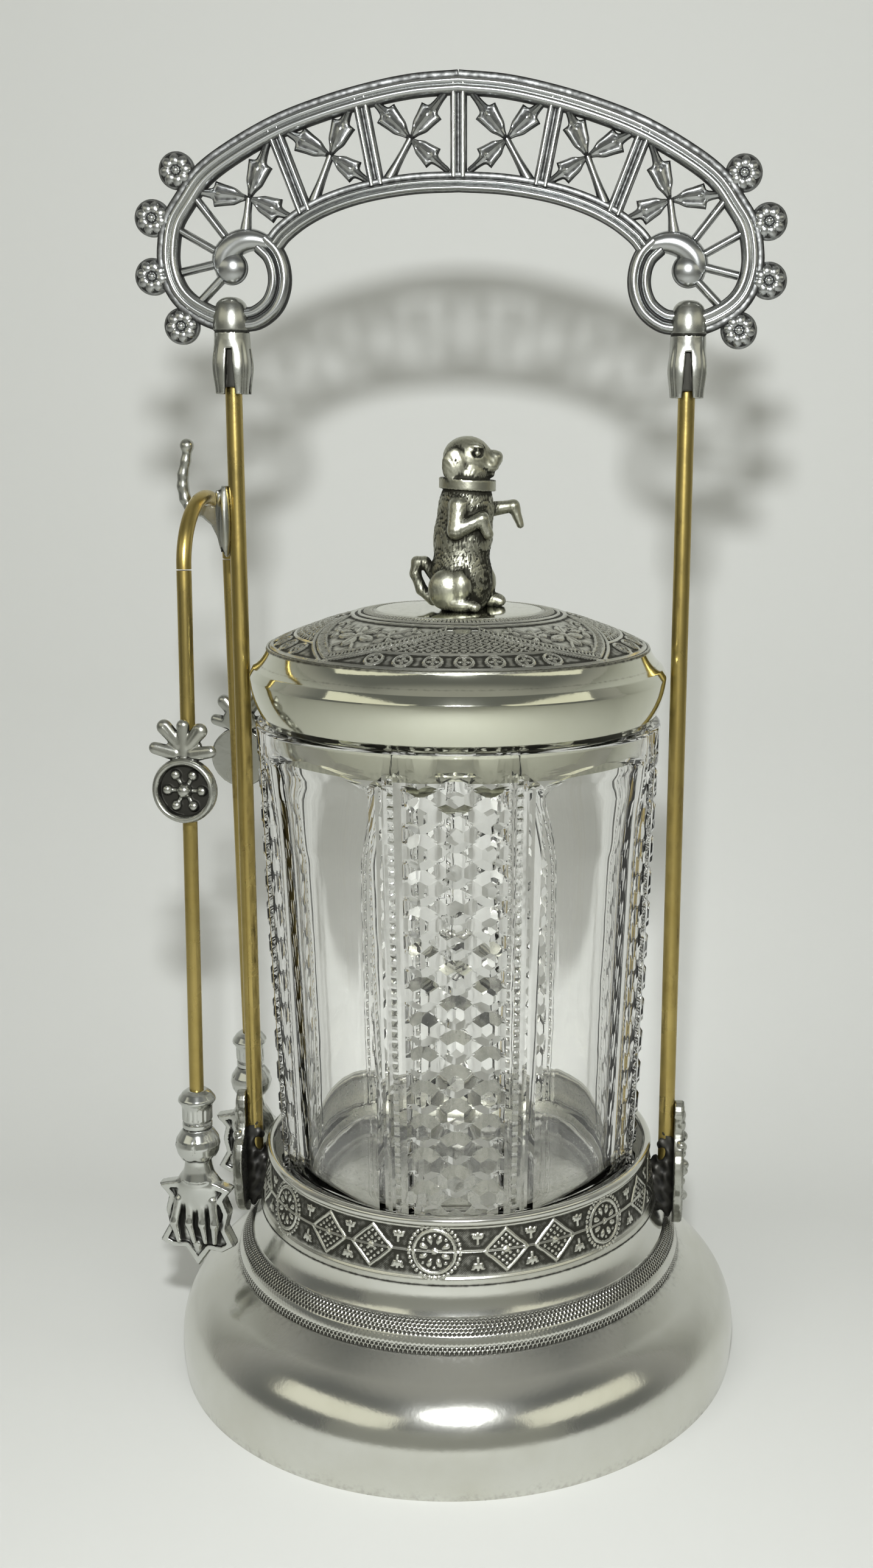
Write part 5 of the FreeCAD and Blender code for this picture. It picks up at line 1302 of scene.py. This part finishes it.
def leaf_net():
    """A leaf from its joint at the origin to its tip along X, with two pointed lobes at its middle."""
    length_shares = np.linspace(0, 1, 34)
    half_width = np.interp(
        length_shares,
        [0, 0.05, 0.14, 0.26, 0.38, 0.47, 0.53, 0.56, 0.62, 0.72, 0.84, 0.94, 1.0],
        [0.3, 0.55, 1.0, 1.9, 2.35, 2.75, 3.0, 1.8, 1.2, 0.95, 0.8, 0.8, 0.6])
    sweep_back = np.interp(length_shares, [0, 0.3, 0.5, 0.6, 1], [0, -0.1, 0.9, 0.3, 0])
    rise = np.interp(length_shares, [0, 0.1, 0.3, 0.5, 0.62, 1.0], [1.1, 1.5, 1.95, 2.0, 1.5, 1.3])
    across = np.linspace(-1, 1, 13)
    rows, shades = [], []
    for share, width, back, high in zip(length_shares, half_width, sweep_back, rise):
        v = np.abs(across)
        front = 0.5 + (high - 0.5) * np.sqrt(np.clip(1 - v ** 2.2, 0, 1))
        front += 0.25 * grooved(v, 0, 0.14) - 0.35 * grooved(v, 0.45, 0.18) * (width > 1.4)
        x = share * leaf_length + back * v ** 2
        face = np.stack([x, -front, across * width], -1)
        rear = np.stack([x, front, across * width], -1)[::-1]
        rows.append(np.concatenate([face, rear]))
        groove = 0.75 * grooved(v, 0.45, 0.2) * (width > 1.4) + 0.9 * np.clip((v - 0.85) / 0.15, 0, 1)
        groove = np.clip(groove + 0.7 * (share < 0.08) + 0.5 * (share > 0.8), 0, 1)
        shades.append(np.concatenate([groove, groove[::-1]]))
    ends = [np.repeat(row.mean(axis=0)[None, :], len(row), axis=0) for row in (rows[0], rows[-1])]
    rows = [ends[0]] + rows + [ends[1]]
    shades = [shades[0]] + shades + [shades[-1]]
    return np.array(rows), np.array(shades)


def rosette_net():
    """A rosette of eight petals round a bead, alike on both faces; its axis is Y, its middle the origin."""
    reach = np.concatenate([np.linspace(0, 3.6, 20), [3.8, 3.95, 4.0]])
    angle = full_turn(56)
    sector = (angle / (2 * math.pi) * 8) % 1.0 - 0.5
    rows, shades = [], []
    for r in reach:
        off_petal = (sector * 2 * math.pi / 8 * r / 1.15) ** 2 + ((r - 2.35) / 1.25) ** 2
        petal = np.sqrt(np.clip(1 - off_petal, 0, 1))
        bead = math.sqrt(max(0, 1 - (r / 0.85) ** 2))
        base = 1.15 * math.sqrt(max(0, 1 - (r / 4.02) ** 2)) + 0.25
        rows.append(np.stack([r * np.cos(angle), -(base + 0.62 * petal + 0.7 * bead), r * np.sin(angle)], -1))
        dark = np.clip(1 - petal * 1.6 - bead * 2, 0, 1) * (0.95 if r < 3.6 else 0.45)
        shades.append(dark)
    back = [row * np.array([1, -1, 1]) for row in rows[::-1]]
    return np.array(rows + back), np.array(shades + shades[::-1])


def repeated(name, net, shade, places, material):
    """Copies of a cast shape, by Geometry Nodes, on points that carry each copy's turn and size."""
    pattern = joined_nets(name + "_pattern", [(net, shade)], material)
    points = bpy.data.meshes.new(name + "_places")
    points.from_pydata([tuple(np.array(place[0]) * MM) for place in places], [], [])
    for label, column in (("turn", 1), ("stretch", 2)):
        layer = points.attributes.new(label, "FLOAT_VECTOR", "POINT")
        values = np.array([place[column] for place in places], dtype=np.float32)
        layer.data.foreach_set("vector", values.ravel())
    carrier = bpy.data.objects.new(name + "_carrier", points)
    scene.collection.objects.link(carrier)
    tree = bpy.data.node_groups.new(name + "_copies", "GeometryNodeTree")
    sockets = {}
    for label, kind in (
            ("Geometry", "Geometry"), ("Cast shape", "Object"), ("Size", "Float"), ("Metal", "Material")):
        sockets[label] = tree.interface.new_socket(label, in_out="INPUT", socket_type="NodeSocket" + kind)
    tree.interface.new_socket("Geometry", in_out="OUTPUT", socket_type="NodeSocketGeometry")
    start = added(tree.nodes, "NodeGroupInput")
    shape = added(tree.nodes, "GeometryNodeObjectInfo")
    copies = added(tree.nodes, "GeometryNodeInstanceOnPoints")
    turn_named, size_named = [
        added(tree.nodes, "GeometryNodeInputNamedAttribute", {"Name": label}, data_type="FLOAT_VECTOR")
        for label in ("turn", "stretch")]
    as_rotation = added(tree.nodes, "FunctionNodeEulerToRotation")
    scaled = added(tree.nodes, "ShaderNodeVectorMath", operation="SCALE")
    real = added(tree.nodes, "GeometryNodeRealizeInstances")
    metal = added(tree.nodes, "GeometryNodeSetMaterial")
    end = added(tree.nodes, "NodeGroupOutput")
    linked(
        tree.links,
        (start.outputs["Cast shape"], shape.inputs["Object"]),
        (start.outputs["Geometry"], copies.inputs["Points"]),
        (shape.outputs["Geometry"], copies.inputs["Instance"]),
        (turn_named.outputs["Attribute"], as_rotation.inputs[0]),
        (as_rotation.outputs[0], copies.inputs["Rotation"]),
        (size_named.outputs["Attribute"], scaled.inputs[0]),
        (start.outputs["Size"], scaled.inputs["Scale"]),
        (scaled.outputs["Vector"], copies.inputs["Scale"]),
        (copies.outputs["Instances"], real.inputs["Geometry"]),
        (real.outputs["Geometry"], metal.inputs["Geometry"]),
        (start.outputs["Metal"], metal.inputs["Material"]),
        (metal.outputs["Geometry"], end.inputs["Geometry"]),
    )
    modifier = carrier.modifiers.new("copies", "NODES")
    modifier.node_group = tree
    modifier[sockets["Cast shape"].identifier] = pattern
    modifier[sockets["Size"].identifier] = 1.0
    modifier[sockets["Metal"].identifier] = material
    evaluated = carrier.evaluated_get(bpy.context.evaluated_depsgraph_get())
    mesh = bpy.data.meshes.new_from_object(evaluated)
    piece = bpy.data.objects.new(name, mesh)
    scene.collection.objects.link(piece)
    for spent in (carrier, pattern):
        bpy.data.objects.remove(spent)
    return piece


leaf_places = []
for centre, _, tips in sprigs:
    for tip in tips:
        for mirror in (1, -1):
            run_x, run_z = (tip[0] - centre[0]) * mirror, tip[1] - centre[1]
            length = math.hypot(run_x, run_z)
            turn_about_y = -math.atan2(run_z, run_x)
            width = 0.92 if length > 11 else 0.85
            stretch = (length / leaf_length, 0.92, width)
            leaf_places.append(((centre[0] * mirror, 0, centre[1]), (0, turn_about_y, 0), stretch))
leaves = repeated("handle_leaves", *leaf_net(), leaf_places, handle_silver)
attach(leaves, "stand")

rosette_places = []
for x, z in ((-61.5, 277.1), (-67.2, 267.2), (-67.6, 254.9), (-61.5, 244.4)):
    for mirror in (1, -1):
        rosette_places.append(((x * mirror, 0, z), (0, 0.2 * mirror * x, 0), (1, 1, 1)))
rosettes = repeated("handle_rosettes", *rosette_net(), rosette_places, handle_silver)
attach(rosettes, "stand")
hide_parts("handle_arch")


# The hook is a small casting soldered outside the left rod: a ribbed shield, a web, and a finger that ends
# in a ball. The bow of the tongs rests on its web.
web_outline = [
    (-54.2, 205.2), (-54.2, 194.6), (-55.0, 198.2), (-56.3, 200.8), (-58.4, 202.6), (-61.4, 203.2),
    (-62.3, 204.4), (-61.9, 205.25), (-58.0, 205.1),
]


def hook_distance(p):
    web = np.maximum(outline_distance(p[:, 0], p[:, 2], web_outline) + 0.3, np.abs(p[:, 1]) - 0.9) - 0.3
    finger = (
        (-61.2, 204.3, 1.25), (-62.3, 206.6, 1.3), (-62.75, 209.4, 1.3), (-62.6, 212.0, 1.25),
        (-61.9, 215.0, 1.15), (-61.5, 217.2, 1.05))
    parts = [web]
    for (x0, z0, start_radius), (x1, z1, end_radius) in zip(finger, finger[1:]):
        parts.append(limb_distance(p, (x0, 0, z0), (x1, 0, z1), start_radius, end_radius))
    parts.append(egg_distance(p, (-61.5, 0, 218.4), (1.6, 1.6, 1.6)))
    shield = egg_distance(p, (-53.1, 0, 202.2), (1.6, 2.75, 8.6))
    shield = np.maximum(shield, p[:, 2] - 209.6)
    ribs = [
        limb_distance(p, (-54.5, y * 0.7, 208.2), (-54.2, y * 0.2, 196.5), 0.5, 0.3)
        for y in (-2.2, 0.0, 2.2)]
    whole = melted(parts + [shield] + ribs, 0.18)
    seat = np.hypot(p[:, 0] + rod_across, p[:, 1]) - (rod_radius + 0.01)
    return np.maximum(whole, -seat)


hook = cast_piece(
    "tongs_finger_hook", hook_distance, (-64.6, -3.2, 193.4), (-50.4, 3.2, 220.4), 0.28, cast_silver,
    hollow=0.7)
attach(hook, "stand")
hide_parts("tongs_hook")


# The tongs are one brass wire bent to a bow over the hook; its two springy arms hang down either side of it.
# Each arm carries a cast medallion and ends in a cast claw.
hang_x, hang_z, bow_radius, wire_radius = -57.7, 192.0, 15.0, 1.65
tongs_turn, arm_lean, arm_length, bend_gap = math.radians(-6.5), math.radians(1.9), 122.9, 0.25
medallion_drop, claw_overlap = 49.0, 2.5


def hung(points):
    """Tongs' own places, in millimetres, turned and moved to where they hang."""
    x, y, z = np.moveaxis(np.asarray(points, dtype=float), -1, 0)
    c, s = math.cos(tongs_turn), math.sin(tongs_turn)
    return np.stack([x * c - y * s + hang_x, x * s + y * c, z + hang_z], -1)


def wire_net(line, radius, around=28):
    """A round wire along a line, closed flat at both ends."""
    line = np.array(line, dtype=float)
    tangent = np.gradient(line, axis=0)
    tangent /= np.linalg.norm(tangent, axis=1)[:, None]
    first = np.cross(tangent, (1.0, 0.0, 0.0))
    first /= np.linalg.norm(first, axis=1)[:, None]
    second = np.cross(tangent, first)
    angle = full_turn(around)[None, :, None]
    ring = first[:, None, :] * np.cos(angle) + second[:, None, :] * np.sin(angle)
    rows = line[:, None, :] + ring * radius
    start, end = rows[:1] * 0 + line[0], rows[:1] * 0 + line[-1]
    return np.concatenate([start, rows, end])


bow_turns = np.linspace(0.004, math.pi - 0.004, 49)
bow_line = [(0, -bow_radius * math.cos(a), bow_radius * math.sin(a)) for a in bow_turns]
bow_net = hung(wire_net(bow_line, wire_radius))
bow = joined_nets("tongs_wire_bow", [(bow_net, np.zeros(bow_net.shape[:2]))], worn_brass, crease=0.6)
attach(bow, "tongs_bow")
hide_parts("tongs_bow")


def on_arm(points, sign):
    """Places on an arm, down from the bow's end, with its face to the front or the rear."""
    points = np.asarray(points, dtype=float)
    x, y, z = points[..., 0] * -sign, points[..., 1] * -sign, points[..., 2]
    c, s = math.cos(sign * arm_lean), math.sin(sign * arm_lean)
    return hung(np.stack([x, y * c - z * s + sign * bow_radius, y * s + z * c], -1))


disc_radius, disc_thick, well_radius, well_floor = 7.3, 1.7, 5.75, 0.75


def medallion_distance(p):
    x, z, out = p[:, 0], p[:, 2], -p[:, 1]
    reach = np.hypot(x, z)
    around = np.arctan2(x, z)
    disc = np.maximum(reach - disc_radius, np.maximum(out - disc_thick, -out))
    rim = np.hypot(reach - 6.55, (out - disc_thick) * 0.8) - 0.78
    body = melted([disc, rim], 0.15)
    body = carved(body, np.maximum(reach - well_radius, well_floor - out), 0.15)
    sector = (around / (math.pi / 3)) % 1.0 - 0.5
    side = np.sin(sector * math.pi / 3) * reach
    lobes = np.hypot(np.hypot(side, reach - 4.1), (out - 1.1) * 1.1) - 1.15
    stems = np.maximum(np.hypot(side, out - 0.9) - 0.45, np.maximum(reach - 4.4, 1.2 - reach))
    stud = np.hypot(reach, (out - 1.3) * 0.95) - 1.65
    parts = [body, lobes, stems, stud]
    q = p * np.array([1, 1.35, 1])
    for root, tip, start_radius, end_radius in (
            ((-2.2, 8.2), (-6.6, 9.4), 1.6, 1.4), ((2.2, 8.2), (6.2, 9.0), 1.6, 1.4),
            ((-1.2, 10.6), (-4.3, 14.2), 1.5, 1.75), ((1.2, 10.6), (3.9, 13.6), 1.5, 1.75),
            ((0, 7.4), (0, 14.6), 1.2, 1.45)):
        petal = limb_distance(q, (root[0], -1.2, root[1]), (tip[0], -1.9, tip[1]), start_radius, end_radius)
        if root[0]:
            fold_start = (root[0], -3.1, root[1] + 0.2)
            fold_end = (tip[0] - np.sign(root[0]) * 0.4, -3.8, tip[1] + 0.3)
            petal = carved(petal, limb_distance(q, fold_start, fold_end, 0.35, 0.4), 0.12)
        parts.append(petal)
    parts.append(np.maximum(np.hypot(x * 0.75, z - 9.5) - 3.0, np.maximum(out - 1.4, -out)))
    whole = melted(parts, 0.12)
    return np.maximum(whole, -out)


claw_collar = [
    (0.0, 0.0), (2.3, 0.0), (3.3, -0.7), (4.25, -2.0), (4.35, -2.6), (3.75, -3.5), (3.5, -4.2), (3.5, -7.2),
    (3.2, -7.6), (3.45, -8.1), (3.45, -9.0), (3.2, -9.4), (3.9, -10.2), (4.9, -11.8), (5.2, -13.4),
    (4.8, -15.2), (4.1, -16.4), (2.9, -16.6), (2.95, -18.0), (3.3, -20.0), (3.9, -22.0), (0.0, -23.0),
]
claw_leaf = [
    (-4.5, -22.5), (-9.3, -23.6), (-6.9, -26.4), (-7.7, -29.8), (-6.9, -33.5), (-9.2, -37.7), (-6.2, -39.3),
    (-3.0, -39.1), (0.0, -43.6), (3.0, -39.4), (6.0, -39.8), (9.0, -38.0), (6.9, -33.8), (7.8, -30.0),
    (6.5, -26.7), (8.4, -24.1), (4.5, -22.5),
]
leaf_reach, finger_joints = 9.0, ((-4.2, -5.2, -4.4), (-1.6, -1.5, -0.6), (1.2, 1.7, 2.2), (3.8, 4.6, 4.4))


def claw_distance(p, inner_reach):
    x, y, z = p[:, 0], p[:, 1], p[:, 2]
    reach = np.hypot(x, y)
    around = np.arctan2(y, x)
    waves = np.abs(np.sin(around * 2.5 + 0.4))
    scallop = 0.55 * (waves - 0.5) * np.clip(1 - np.abs(z + 16.0) / 2.5, 0, 1)
    collar = outline_distance(reach, z + scallop, claw_collar)
    ribbed = np.clip(1 - np.abs(z + 5.7) / 1.7, 0, 1)
    collar = collar + 0.22 * np.clip(np.sin(around * 15), 0, 1) * np.minimum(ribbed * 3, 1)
    collar = collar + 0.25 * (waves < 0.14) * np.clip(1 - np.abs(z + 13.3) / 2.6, 0, 1)
    palm = melted([
        egg_distance(p, (0, 0.2, -25.5), (5.9, 3.3, 6.4)),
        limb_distance(p, (0, 0, -17.5), (0, 0, -23.5), 3.0, 3.6),
        egg_distance(p, (0, 0.9, -33.5), (5.6, 2.2, 7.5)),
    ], 0.5)
    details = [palm]
    for knuckle, middle, tip in finger_joints:
        details.append(limb_distance(p, (knuckle, -1.7, -27.0), (middle, -2.7, -32.4), 1.15, 1.05))
        details.append(limb_distance(p, (middle, -2.7, -32.4), (tip, -2.3, -37.0), 1.05, 0.6))
    leaf = outline_distance(np.where(x > 0, x * leaf_reach / inner_reach, x), z, claw_leaf)
    details.append(np.maximum(leaf + 0.4, np.abs(y) - 0.7) - 0.4)
    details.append(np.maximum(np.abs(leaf + 0.8) - 0.3, np.abs(y) - 1.6) - 0.3)
    details.append(limb_distance(p, (0, -1.0, -38.0), (0, 0, -43.0), 1.5, 0.5))
    return melted([collar, melted(details, 0.2)], 0.15)


claw_silver = tarnished("claw_silver", (0.60, 0.61, 0.585), (0.05, 0.05, 0.045), 0.15, mottle=0.35, grain=0.4)
for side, sign, body, inner_reach in (("front", -1, "front_arm", leaf_reach), ("rear", 1, "rear_arm", 6.2)):
    length = arm_length - bend_gap
    arm_line = [(0, 0, z) for z in np.linspace(-bend_gap, -length - 0.2, 60)]
    arm_net = on_arm(wire_net(arm_line, wire_radius), sign)
    arm_shade = np.zeros(arm_net.shape[:2])
    near_medallion = np.abs(np.linspace(0, length, 62) - 50) < 9
    arm_shade[near_medallion] = 0.35
    arm = joined_nets(side + "_tongs_wire", [(arm_net, arm_shade)], worn_brass, crease=0.6)
    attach(arm, body)
    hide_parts(side + "_arm")

    # A cast medallion is soldered to the face of the arm, with ribbon petals above it.
    medallion = cast_piece(
        side + "_ribbon_medallion", medallion_distance, (-8.6, -4.0, -7.6), (8.6, 0.1, 18.2), 0.27,
        cast_silver, hollow=0.7,
        shade=lambda p: 0.75 * (np.hypot(p[:, 0], p[:, 2]) < 5.8) * (p[:, 1] > -1.1) * (p[:, 1] < -0.3),
        place=lambda p, sign=sign: on_arm(p + np.array([0, -wire_radius, -medallion_drop]), sign))
    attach(medallion, body)
    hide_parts(side + "_medallion")

    # A cast claw closes on the pickle: cap, ribbed collar and scalloped cuff, then a wrist, and four fingers
    # that lie on a rimmed leaf.
    mirror = 1 if sign < 0 else -1
    claw = cast_piece(
        side + "_pickle_claw", lambda p, m=mirror, r=inner_reach: claw_distance(p * np.array([m, 1, 1]), r),
        (-9.8, -5.5, -44.5), (9.8, 5.5, 0.1), 0.3, claw_silver, hollow=0.75,
        place=lambda p, sign=sign: on_arm(p + np.array([0, 0, -arm_length + claw_overlap]), sign))
    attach(claw, body)
    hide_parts(side + "_claw")


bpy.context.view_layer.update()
